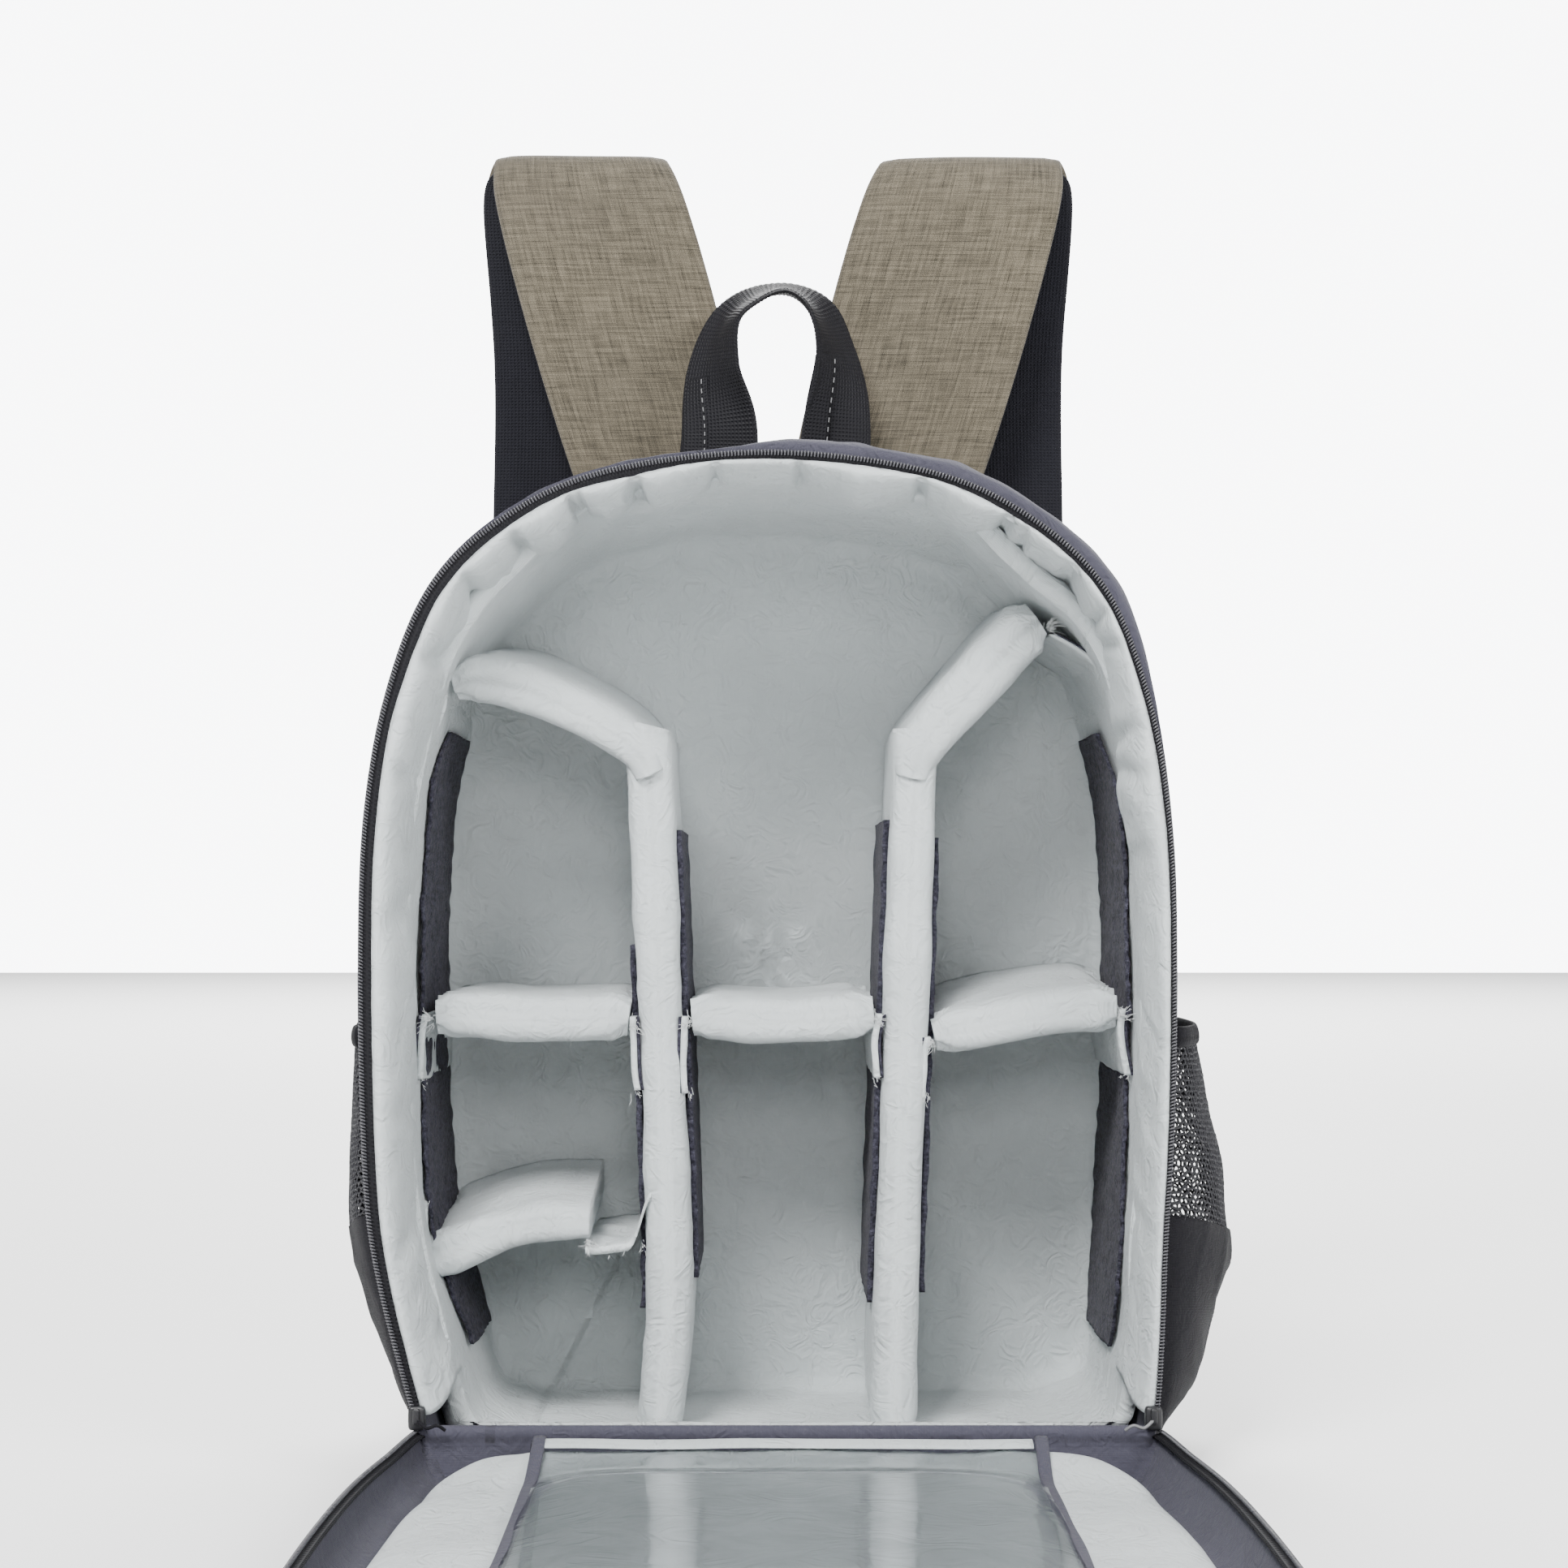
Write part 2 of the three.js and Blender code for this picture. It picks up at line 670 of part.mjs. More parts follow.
// Middle line of a shoulder strap, its adjuster and its webbing, from the top seam over the
// fold and down behind the bag. up is a share of the height, out a share of half the width,
// back a share of the reach behind the bag and wide a share of the strap's width.
const strapRows = [
  { up: 0.952, out: 0.235, back: 0, wide: 0.84 },
  { up: 1.01, out: 0.293, back: 0.1, wide: 0.97 },
  { up: 1.13, out: 0.378, back: 0.2, wide: 1 },
  { up: 1.27, out: 0.474, back: 0.22, wide: 1 },
  { up: 1.355, out: 0.532, back: 0.3, wide: 1 },
  { up: 1.393, out: 0.56, back: 0.56, wide: 1 },
  { up: 1.355, out: 0.575, back: 0.86, wide: 1 },
  { up: 1.18, out: 0.545, back: 1, wide: 1 },
  { up: 1, out: 0.555, back: 1, wide: 1 },
  { up: 0.82, out: 0.58, back: 0.95, wide: 0.94 },
  { up: 0.68, out: 0.6, back: 0.84, wide: 0.74 },
  { up: 0.5, out: 0.625, back: 0.66, wide: 0.74 },
  { up: 0.3, out: 0.65, back: 0.45, wide: 0.74 },
  { up: 0.2, out: 0.66, back: 0.24, wide: 0.74 },
  { up: 0.135, out: 0.665, back: 0, wide: 0.74 },
  { up: 0.085, out: 0.67, back: 0, wide: 0.74 },
];
const strapEndRow = 10;
const adjusterRows = 0.45;    // length of the adjuster, as a share of one row

function strapCurve(side) {
  const points = strapRows.map(({ up, out, back }, row) => {
    const clear = row < strapEndRow ? strapPad + 1.5 * gap : 2 * gap + webbingPad / 2;
    const x = side * out * halfWidth + strapShift;
    return new THREE.Vector3(x, backY + Math.max(clear, back * strapReach), up * bodyHeight);
  });
  return new THREE.CatmullRomCurve3(points, false, 'centripetal');
}

// A layer that follows a strap's middle line from one row to another.
// near and far are its depths below and above that line.
function strapLayer(side, { fromRow, toRow, steps, across, near, far, widthAt }) {
  const curve = strapCurve(side);
  const last = strapRows.length - 1;
  return sheet(across, steps, (column, step, face) => {
    const row = mix(fromRow, toRow, step / steps);
    const centre = curve.getPoint(row / last);
    const along = curve.getTangent(row / last);
    const sideways = new THREE.Vector3(1, 0, 0);
    const outward = sideways.clone().cross(along).normalize();
    const offset = (column / across - 0.5) * widthAt(row);
    return centre.addScaledVector(sideways, offset).addScaledVector(outward, face === 0 ? near : far);
  });
}

function addStraps() {
  const padWidthAt = (row) => {
    const low = Math.floor(Math.min(row, strapRows.length - 2));
    return strapWidth * mix(strapRows[low].wide, strapRows[low + 1].wide, row - low);
  };
  const endRows = strapRows.slice(strapEndRow, strapEndRow + 2);
  const clear = gap / (bodyHeight * (endRows[0].up - endRows[1].up));
  for (const side of [-1, 1]) {
    const name = side < 0 ? 'left' : 'right';
    const padded = { fromRow: 0, toRow: strapEndRow, steps: 16, across: 2, widthAt: padWidthAt };
    const face = { ...padded, near: gap / 2, far: gap / 2 + strapPad };
    addPiece(`strap_${name}`, strapLayer(side, face), 'khaki');
    const inner = { ...padded, near: -gap / 2 - meshPad, far: -gap / 2 };
    addPiece(`strap_mesh_${name}`, strapLayer(side, inner), 'mesh');
    const adjuster = {
      fromRow: strapEndRow + clear,
      toRow: strapEndRow + adjusterRows,
      steps: 2,
      across: 2,
      near: -adjusterPad / 2,
      far: adjusterPad / 2,
      widthAt: () => adjusterWidth,
    };
    addPiece(`adjuster_${name}`, strapLayer(side, adjuster), 'plastic');
    const webbing = {
      fromRow: strapEndRow + adjusterRows + clear,
      toRow: strapRows.length - 1,
      steps: 12,
      across: 1,
      near: -webbingPad / 2,
      far: webbingPad / 2,
      widthAt: () => webbingWidth,
    };
    addPiece(`webbing_${name}`, strapLayer(side, webbing), 'black');
  }
}

// Middle line of the carrying handle, seen from the front. across is a share of its span,
// up of its rise, and turn is how far the webbing is twisted toward lying flat, in degrees.
const handleRows = [
  { across: -0.5, up: 0, turn: 5 },
  { across: -0.5, up: 0.35, turn: 10 },
  { across: -0.55, up: 0.63, turn: 45 },
  { across: -0.44, up: 0.86, turn: 62 },
  { across: -0.17, up: 0.97, turn: 70 },
  { across: 0.12, up: 1, turn: 72 },
  { across: 0.37, up: 0.9, turn: 66 },
  { across: 0.53, up: 0.68, turn: 52 },
  { across: 0.52, up: 0.38, turn: 18 },
  { across: 0.48, up: 0, turn: 5 },
];

function addHandle() {
  const steps = 18;
  const y = backY - handleInset;
  const seat = bodyHeight - taperAt(y) + gap;
  const points = handleRows.map(({ across, up }) => {
    return new THREE.Vector3(strapShift + across * handleSpan, y, seat + up * handleRise);
  });
  const curve = new THREE.CatmullRomCurve3(points, false, 'centripetal');
  const depth = new THREE.Vector3(0, 1, 0);
  const geometry = sheet(1, steps, (column, step, face) => {
    const share = step / steps;
    const row = share * (handleRows.length - 1);
    const low = Math.min(Math.floor(row), handleRows.length - 2);
    const turn = mix(handleRows[low].turn, handleRows[low + 1].turn, row - low) * Math.PI / 180;
    const along = curve.getTangent(share);
    const outward = along.cross(depth).normalize();
    const wide = outward.clone().multiplyScalar(Math.cos(turn)).addScaledVector(depth, Math.sin(turn));
    const thick = outward.multiplyScalar(-Math.sin(turn)).addScaledVector(depth, Math.cos(turn));
    const point = curve.getPoint(share).addScaledVector(wide, (column - 0.5) * handleWidth);
    point.addScaledVector(thick, (face - 0.5) * handlePad);
    point.z = Math.max(point.z, seat);
    return point;
  });
  addPiece('handle', geometry, 'black');
}

// Columns and rows of the padded back: thick is a share of the pad left by the channels.
const backColumns = [
  { across: -1, thick: 0.4 },
  { across: -0.88, thick: 1 },
  { across: -0.2, thick: 1 },
  { across: -0.08, thick: 0 },
  { across: 0.08, thick: 0 },
  { across: 0.2, thick: 1 },
  { across: 0.88, thick: 1 },
  { across: 1, thick: 0.4 },
];
const backPanelRows = [
  { up: 0.23, thick: 0.4 },
  { up: 0.26, thick: 1 },
  { up: 0.53, thick: 1 },
  { up: 0.555, thick: 0 },
  { up: 0.58, thick: 1 },
  { up: 0.8, thick: 1 },
  { up: 0.875, thick: 1 },
  { up: 0.9, thick: 0.4 },
];

function addBackPanel() {
  const geometry = sheet(backColumns.length - 1, backPanelRows.length - 1, (column, row, face) => {
    const { across, thick } = backColumns[column];
    const { up, thick: rowThick } = backPanelRows[row];
    const flat = outline.getPointAt(archShareAt(up * bodyHeight));
    const half = -flat.x * (halfWidth - backTaper) - 1.6 * backRound;
    const swell = backPad - channelDepth + channelDepth * Math.min(thick, rowThick);
    const y = backY + gap + (face === 0 ? 0 : swell);
    return new THREE.Vector3(across * half, y, up * bodyHeight);
  });
  addPiece('back_panel', geometry, 'mesh');
}

// Side pockets

// How far a pocket stands out, as a share of its bulge. up is a share of the pocket's height.
const pocketRows = [
  { up: 0, out: 0.02 },
  { up: 0.05, out: 0.5 },
  { up: 0.16, out: 0.7 },
  { up: 0.29, out: 0.82 },
  { up: 0.42, out: 1 },
  { up: 0.54, out: 0.95 },
  { up: 0.66, out: 0.83 },
  { up: 0.76, out: 0.7 },
  { up: 0.86, out: 0.56 },
  { up: 1, out: 0.44 },
];

const pocketFrontY = frontY + 0.1 * bodyDepth;
const pocketBackY = backY - backRound;

// A point of a pocket. share runs from its front seam to its back seam.
function pocketPoint(side, share, height, lift) {
  const y = mix(pocketFrontY, pocketBackY, share);
  const up = height / (bodyHeight - taperAt(y));
  const flat = outline.getPointAt(archShareAt(up * bodyHeight));
  const wall = -side * flat.x * (halfWidth - taperAt(y)) + leanAt(flat.y);
  const rise = (height - pocketBottom) / (pocketTop - pocketBottom);
  const bulge = side > 0 ? pocketBulge : slackBulge;
  const arch = Math.sin(Math.PI * clamp01(share)) ** 0.6;
  const out = bulge * lookUp(pocketRows, 'up', 'out', rise) * arch;
  return new THREE.Vector3(wall + side * (gap + out + lift), y, height);
}

const splitAt = (share) => pocketSplit + splitRise * (1 - share) ** 2;

function pocketSheet(side, columns, rows, fromAt, toAt, wall) {
  return sheet(columns, rows, (column, row, face) => {
    const share = column / columns;
    const height = mix(fromAt(share), toAt(share), row / rows);
    return pocketPoint(side, share, height, face === 0 ? 0 : wall);
  });
}

// Gives a flat panel of triangles a thickness. place receives a point's x and y and the face.
function thicken(flat, place) {
  const corners = flat.attributes.position;
  const { count } = corners;
  const positions = [];
  for (const face of [0, 1]) {
    for (let i = 0; i < count; i += 1) {
      positions.push(...place(corners.getX(i), corners.getY(i), face).toArray());
    }
  }
  const triangles = [];
  const openEdges = new Map();
  for (let i = 0; i < flat.index.count; i += 3) {
    const [a, b, c] = [0, 1, 2].map((side) => flat.index.getX(i + side));
    triangles.push(a, c, b, a + count, b + count, c + count);
    for (const [from, to] of [[a, b], [b, c], [c, a]]) {
      if (!openEdges.delete(`${to} ${from}`)) openEdges.set(`${from} ${to}`, [from, to]);
    }
  }
  for (const [from, to] of openEdges.values()) {
    triangles.push(from, to, to + count, from, to + count, from + count);
  }
  const geometry = new THREE.BufferGeometry();
  geometry.setAttribute('position', new THREE.Float32BufferAttribute(positions, 3));
  geometry.setIndex(triangles);
  return closeBody(geometry);
}

// One square of the net, with a diamond hole. The reaches are half the hole's size.
function netCell(column, row, reachAcross, reachUp) {
  const cell = new THREE.Shape();
  cell.moveTo(column, row);
  cell.lineTo(column + 1, row);
  cell.lineTo(column + 1, row + 1);
  cell.lineTo(column, row + 1);
  const hole = new THREE.Path();
  const x = column + 0.5;
  const y = row + 0.5;
  hole.moveTo(x - reachAcross, y);
  hole.lineTo(x, y + reachUp);
  hole.lineTo(x + reachAcross, y);
  hole.lineTo(x, y - reachUp);
  cell.holes.push(hole);
  return cell;
}

// The net is a flat panel of such squares, bent onto the pocket.
function netGeometry(side) {
  const netTop = pocketTop - hemHeight - gap;
  const cellWidth = (pocketBackY - pocketFrontY) / netColumns;
  const cellHeight = (netTop - pocketSplit) / netRows;
  const reachAcross = 0.5 - netStrand / cellWidth / 2;
  const reachUp = 0.5 - netStrand / cellHeight / 2;
  const cells = [];
  for (let row = 0; row < netRows; row += 1) {
    for (let column = 0; column < netColumns; column += 1) {
      cells.push(netCell(column, row, reachAcross, reachUp));
    }
  }
  const flat = new THREE.ShapeGeometry(cells);
  flat.deleteAttribute('normal');
  flat.deleteAttribute('uv');
  return thicken(mergeVertices(flat, 1e-4), (x, y, face) => {
    const share = x / netColumns;
    const height = mix(splitAt(share) + gap, netTop, y / netRows);
    return pocketPoint(side, share, height, face * pocketWall);
  });
}

function addPockets() {
  for (const side of [-1, 1]) {
    const name = side < 0 ? 'left' : 'right';
    const panel = pocketSheet(side, netColumns, 4, () => pocketBottom, splitAt, pocketWall);
    addPiece(`pocket_panel_${name}`, panel, 'black');
    addPiece(`pocket_net_${name}`, netGeometry(side), 'mesh');
    const hemLow = () => pocketTop - hemHeight;
    const hem = pocketSheet(side, netColumns, 1, hemLow, () => pocketTop, hemPad);
    addPiece(`pocket_hem_${name}`, hem, 'black');
  }
}

// Flap, laid down in front of the bag

const flapStart = hingeHeight + hingeClear;
const flapLength = bodyHeight - flapStart;
const flapBackY = edgeY - gap;
const hingeRim = lipTop - 2 * gap - tapeThickness - teethHeight - gap;

const flapRise = (along) => 1 - ease(along / flapSlope);
const flapRimAt = (along) => mix(flapRim, hingeRim, flapRise(along));
const padTopAt = (along) => mix(clothWall + gap + flapPad, hingeRim - gap, flapRise(along));

// A point of the flap: its outline is the body's, turned down about the hinge.
function flapPoint(share, inset, heightAt) {
  const flat = outline.getPointAt(share);
  const along = Math.max(flat.y * (bodyHeight - inset) - flapStart, inset / 2);
  const x = flat.x * (halfWidth - inset) + footLean;
  return new THREE.Vector3(x, flapBackY - along, heightAt(along));
}

function flapRing(step, inset, heightAt) {
  if (step <= archSpans) return flapPoint(archShares[step], inset, heightAt);
  const end = flapPoint(archShares[archSpans], inset, heightAt);
  return end.lerp(flapPoint(archShares[0], inset, heightAt), (step - archSpans) / baseSteps);
}

function addFlapShell() {
  const rows = [
    { inset: flapBorder, heightAt: () => 0 },
    { inset: flapBorder / 2, heightAt: (along) => 0.15 * flapRimAt(along) },
    { inset: 0, heightAt: flapRimAt },
    { inset: clothWall, heightAt: flapRimAt },
    { inset: flapBorder + clothWall, heightAt: () => clothWall },
  ];
  const geometry = cup(archSpans + baseSteps, rows.length + 1, (step, row) => {
    const { inset, heightAt } = rows[Math.min(rows.length - 1, Math.max(0, row - 1))];
    const middleY = flapBackY - flapLength / 2;
    if (row === 0) return new THREE.Vector3(footLean, middleY, 0);
    if (row === rows.length + 1) return new THREE.Vector3(footLean, middleY, clothWall);
    return flapRing(step, inset, heightAt);
  });
  addPiece('flap_shell', geometry, 'shell');
}

// Lines across the flap, as distances from the hinge, shared by all that lies on its panel.
const slopeLines = [0.22, 0.4, 0.6, 0.8, 1].map((share) => share * flapSlope);
const windowLines = [0.25, 0.6, 1].map((share) => mix(flapSlope, windowLength, share));
const padInset = flapBorder + clothWall + 2 * gap;
const padEnd = flapLength - padInset - 0.02 * bodyHeight;
const endLines = [0.4, 0.75, 1].map((share) => mix(windowLength, padEnd, share));
const flapLines = [...slopeLines, ...windowLines, ...endLines];

function padHalfAt(along) {
  const up = (along + flapStart) / (bodyHeight - padInset);
  const flat = outline.getPointAt(archShareAt(up * bodyHeight));
  const corner = cornerDrop * (1 - ease(along / flapSlope)) ** 2;
  return -flat.x * (halfWidth - padInset) - 2 * gap - corner;
}

function addFlapPad() {
  const columns = 4;
  const geometry = sheet(columns, flapLines.length - 1, (column, row, face) => {
    const along = flapLines[row];
    const across = (column / columns) * 2 - 1;
    const x = footLean + across * padHalfAt(along);
    return new THREE.Vector3(x, flapBackY - along, padTopAt(along) - (face === 0 ? flapPad : 0));
  });
  addPiece('flap_pad', geometry, 'lining');
}

// Columns of the clear pocket. across is a share of its half width, rise of its height.
const windowColumns = [
  { across: -1, rise: 0 },
  { across: -0.94, rise: 0 },
  { across: -0.82, rise: 0.8 },
  { across: -0.6, rise: 1 },
  { across: 0.6, rise: 1 },
  { across: 0.82, rise: 0.8 },
  { across: 0.94, rise: 0 },
  { across: 1, rise: 0 },
];

const windowSeatAt = (along) => padTopAt(along) + gap;

function addWindow() {
  const half = windowWidth / 2;
  const lines = flapLines.filter((along) => along <= windowLength);
  const sheetTopAt = (along) => windowSeatAt(along) + windowPad + gap;
  const film = sheet(windowColumns.length - 1, lines.length - 1, (column, row, face) => {
    const { across, rise } = windowColumns[column];
    const along = lines[row];
    const open = row < 2 ? 0 : Math.min(1, (row - 1) / 3);
    const height = windowSeatAt(along) + windowRise * rise * open + face * windowPad;
    return new THREE.Vector3(footLean + across * half, flapBackY - along, height);
  });
  addPiece('flap_window', film, 'clear');
  for (const side of [-1, 1]) {
    const binding = sheet(1, lines.length - 1, (column, row, face) => {
      const x = footLean + side * (half - column * bindingWidth);
      const height = sheetTopAt(lines[row]) + face * bindingPad;
      return new THREE.Vector3(x, flapBackY - lines[row], height);
    });
    addPiece(side < 0 ? 'flap_binding_left' : 'flap_binding_right', binding, 'shell');
  }
  const hem = sheet(1, 1, (column, row, face) => {
    const reach = half - bindingWidth - gap;
    const x = footLean + (column * 2 - 1) * reach;
    const along = lines[row];
    return new THREE.Vector3(x, flapBackY - along, sheetTopAt(along) + face * bindingPad);
  });
  addPiece('flap_hem', hem, 'lining');
}

// A strip that follows the flap's edge, on top of its cloth.
function flapStrip(fromInset, toInset, lift, thick) {
  return sheet(archSpans, 1, (column, row, face) => {
    const inset = row === 0 ? fromInset : toInset;
    const heightAt = (along) => flapRimAt(along) + lift + face * thick;
    return flapPoint(archShares[column], inset, heightAt);
  });
}

function addFlapZip() {
  addPiece('flap_zip_tape', flapStrip(0, tapeWidth, gap, tapeThickness), 'black');
  const lift = 2 * gap + tapeThickness;
  addPiece('flap_zip_teeth', flapStrip(0, teethWidth, lift, teethHeight), 'teeth');
}

addShell();
addBackPanel();
addLining();
addRim();
addZip();
addVelvetWalls();
addUprights();
addVelvetStrips();
crossRows.forEach(addCross);
addStraps();
addHandle();
addPockets();
addFlapShell();
addFlapPad();
addWindow();
addFlapZip();

export default backpack;
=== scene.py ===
import math

import bpy
import numpy as np
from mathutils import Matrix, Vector


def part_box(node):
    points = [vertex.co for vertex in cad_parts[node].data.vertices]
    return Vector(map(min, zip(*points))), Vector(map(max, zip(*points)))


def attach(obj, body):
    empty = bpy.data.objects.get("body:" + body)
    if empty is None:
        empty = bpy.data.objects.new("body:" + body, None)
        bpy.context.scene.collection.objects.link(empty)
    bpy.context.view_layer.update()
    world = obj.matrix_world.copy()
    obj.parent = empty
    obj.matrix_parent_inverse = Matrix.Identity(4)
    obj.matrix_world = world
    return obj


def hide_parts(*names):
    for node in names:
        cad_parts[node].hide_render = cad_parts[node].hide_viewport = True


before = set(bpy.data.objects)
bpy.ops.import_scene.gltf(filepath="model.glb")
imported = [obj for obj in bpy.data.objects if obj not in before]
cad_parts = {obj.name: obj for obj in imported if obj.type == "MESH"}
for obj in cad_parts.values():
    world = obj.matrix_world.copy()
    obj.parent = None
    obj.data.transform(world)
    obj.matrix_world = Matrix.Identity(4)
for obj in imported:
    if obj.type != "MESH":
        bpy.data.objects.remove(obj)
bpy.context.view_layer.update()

mm = 0.001
print("frame loaded:", len(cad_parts), "nodes")


# Small tools for numbers and curves

def mix(start, end, share):
    return start + (end - start) * share


def ease(value):
    share = np.clip(value, 0, 1)
    return share * share * (3 - 2 * share)


def spline(points, perSpan=40):
    # a smooth line through the points, sampled evenly between each two
    rows = np.array(points, float)
    last = len(rows) - 1
    share = np.linspace(0, 1, perSpan, endpoint=False)[:, None]
    parts = []
    for i in range(last):
        before, start, end, after = (rows[min(max(k, 0), last)] for k in (i - 1, i, i + 1, i + 2))
        leave, arrive = (end - before) / 2, (after - start) / 2
        cubic = (2 * start - 2 * end + leave + arrive) * share ** 3
        square = (3 * end - 3 * start - 2 * leave - arrive) * share ** 2
        parts.append(cubic + square + leave * share + start)
    return np.concatenate(parts + [rows[last:]])


def lengthsAlong(line):
    steps = np.linalg.norm(np.diff(line, axis=0), axis=1)
    return np.concatenate([[0], np.cumsum(steps)])


def unit(vectors):
    return vectors / np.maximum(np.linalg.norm(vectors, axis=-1, keepdims=True), 1e-9)


def ripples(u, v, size, seed, count=7):
    # soft waves of about one size that run in every direction, from -1 to 1
    random = np.random.default_rng(seed)
    total = 0
    for _ in range(count):
        turn, stretch = random.uniform(0, math.pi), random.uniform(0.6, 1.5)
        phase, wander = random.uniform(0, 2 * math.pi, 2)
        along = (u * math.cos(turn) + v * math.sin(turn)) * 2 * math.pi * stretch / size
        across = (v * math.cos(turn) - u * math.sin(turn)) * 2 * math.pi * 0.45 / size
        total = total + np.sin(along + phase + 1.1 * np.sin(across + wander))
    return total / (count * 0.6)


def creases(u, v, size, seed):
    # narrow ridges where those waves cross zero
    return np.exp(-(ripples(u, v, size, seed) / 0.22) ** 2)


def raggedEdge(random, spread, count, window):
    # uneven steps along a cut edge, each the mean of a few draws
    draws = random.normal(0, spread, count + window - 1)
    return np.convolve(draws, np.ones(window) / window, "valid")[:, None]


# Meshes from grids of points. Parts are points, faces and uv

def quads(index, flip=False):
    a, b, c, d = index[:-1, :-1], index[:-1, 1:], index[1:, 1:], index[1:, :-1]
    order = (a, d, c, b) if flip else (a, b, c, d)
    return np.stack([corner.ravel() for corner in order], -1)


def ringFaces(count, sides, closed=True):
    # faces round a row of rings, and over the first and last ring
    index = np.arange(count * sides).reshape(count, sides)
    faces = quads(np.concatenate([index, index[:, :1]], axis=1)).tolist()
    return faces + [index[0][::-1].tolist(), index[-1].tolist()] if closed else faces


def gridUv(grid):
    # lengths along the middle row and the middle column, in metres
    rows, columns = grid.shape[:2]
    u, v = np.meshgrid(lengthsAlong(grid[rows // 2]), lengthsAlong(grid[:, columns // 2]))
    return np.stack([u, v], -1).reshape(-1, 2)


def normalsOf(grid):
    return unit(np.cross(np.gradient(grid, axis=1), np.gradient(grid, axis=0)))


def sheetParts(top, under):
    # a closed pad between two grids of the same size
    rows, columns = top.shape[:2]
    count = rows * columns
    index = np.arange(count).reshape(rows, columns)
    faces = [quads(index), quads(index + count, flip=True)]
    for line, flip in ((index[0], True), (index[-1], False), (index[:, 0], False), (index[:, -1], True)):
        a, b = (line[1:], line[:-1]) if flip else (line[:-1], line[1:])
        faces.append(np.stack((a, b, b + count, a + count), -1))
    faces = np.concatenate(faces)
    if np.sum((top - under) * normalsOf(top)) < 0:
        faces = faces[:, ::-1]
    uv = gridUv(top)
    points = np.concatenate([top.reshape(-1, 3), under.reshape(-1, 3)])
    return points, faces.tolist(), np.concatenate([uv, uv])


def tubeParts(line, radius, sides=10):
    # a closed round cord along a line
    line = np.asarray(line, float)
    along = unit(np.gradient(line, axis=0))
    helper = np.tile([0, 1.0, 0], (len(line), 1))
    first = unit(helper - along * np.sum(helper * along, -1, keepdims=True))
    second = np.cross(along, first)
    turns = np.linspace(0, 2 * math.pi, sides, endpoint=False)
    ring = first[:, None] * np.cos(turns)[None, :, None] + second[:, None] * np.sin(turns)[None, :, None]
    u, v = np.meshgrid(turns * radius, lengthsAlong(line))
    points = line[:, None] + ring * radius
    return points.reshape(-1, 3), ringFaces(len(line), sides), np.stack([u, v], -1).reshape(-1, 2)


def cupParts(rows):
    # rows of closed rings, from the middle of the outside to the middle of the inside
    grid = np.array(rows)
    count, columns = grid.shape[:2]
    faces = ringFaces(count, columns, closed=False)
    first, last, end = count * columns, count * columns + 1, (count - 1) * columns
    after = [(k + 1) % columns for k in range(columns)]
    faces += [[first, after[k], k] for k in range(columns)]
    faces += [[last, end + k, end + after[k]] for k in range(columns)]
    points = np.concatenate([grid.reshape(-1, 3), [grid[0].mean(0), grid[-1].mean(0)]])
    return points, faces, np.concatenate([gridUv(grid), np.zeros((2, 2))])


def joined(parts):
    points, faces, uvs, start = [], [], [], 0
    for place, face, uv in parts:
        points.append(place)
        faces += [[corner + start for corner in row] for row in face]
        uvs.append(uv)
        start += len(place)
    return np.concatenate(points), faces, np.concatenate(uvs)


def volumeOf(mesh):
    mesh.calc_loop_triangles()
    corners = np.empty(len(mesh.loop_triangles) * 3, np.int32)
    mesh.loop_triangles.foreach_get("vertices", corners)
    places = np.empty(len(mesh.vertices) * 3, np.float32)
    mesh.vertices.foreach_get("co", places)
    corner = places.reshape(-1, 3)[corners].reshape(-1, 3, 3).astype(float)
    return np.sum(corner[:, 0] * np.cross(corner[:, 1], corner[:, 2]))


def addPiece(name, parts, finish, nodes=()):
    # a mesh with its finish, its body and the solids that it stands for
    points, faces, uv = parts
    mesh = bpy.data.meshes.new(name)
    mesh.from_pydata(points.tolist(), [], faces)
    corners = np.empty(len(mesh.loops), np.int32)
    mesh.loops.foreach_get("vertex_index", corners)
    mesh.uv_layers.new(name="cloth").data.foreach_set("uv", np.asarray(uv, np.float32)[corners].ravel())
    mesh.validate()
    if volumeOf(mesh) < 0:
        mesh.flip_normals()
    mesh.polygons.foreach_set("use_smooth", [True] * len(mesh.polygons))
    mesh.materials.append(finishes[finish])
    piece = bpy.data.objects.new(name, mesh)
    bpy.context.scene.collection.objects.link(piece)
    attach(piece, "root")
    if nodes:
        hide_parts(*nodes)
    return piece


# The camera stands at the photograph's place, level, a little above half the bag's height

view = {
    "distance": 0.931,       # from the opening plane
    "height": 0.225,
    "right": 0.001,
    "lens": 56.9,
    "shiftX": 0.0088,
    "shiftY": 0.0694,
}
body = {
    "halfWidth": 154.5 * mm,
    "height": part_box("shell")[1].z,
    "frontY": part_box("piping")[0].y,
    "backY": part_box("shell")[1].y,
    "hinge": 25 * mm,
    "hingeClear": 4 * mm,
    "footLean": 8 * mm,      # how far the foot stands to the right
    "leanEnd": 0.28,
    "taper": 10 * mm,
    "backRound": 12 * mm,
}
depth = body["backY"] - body["frontY"]


def addCamera():
    data = bpy.data.cameras.new("camera")
    camera = bpy.data.objects.new("camera", data)
    bpy.context.scene.collection.objects.link(camera)
    camera.location = (view["right"], body["frontY"] - view["distance"], view["height"])
    camera.rotation_euler = (math.radians(90), 0, 0)
    data.lens = view["lens"]
    data.sensor_width = 36
    data.shift_x, data.shift_y = view["shiftX"], view["shiftY"]
    bpy.context.scene.camera = camera


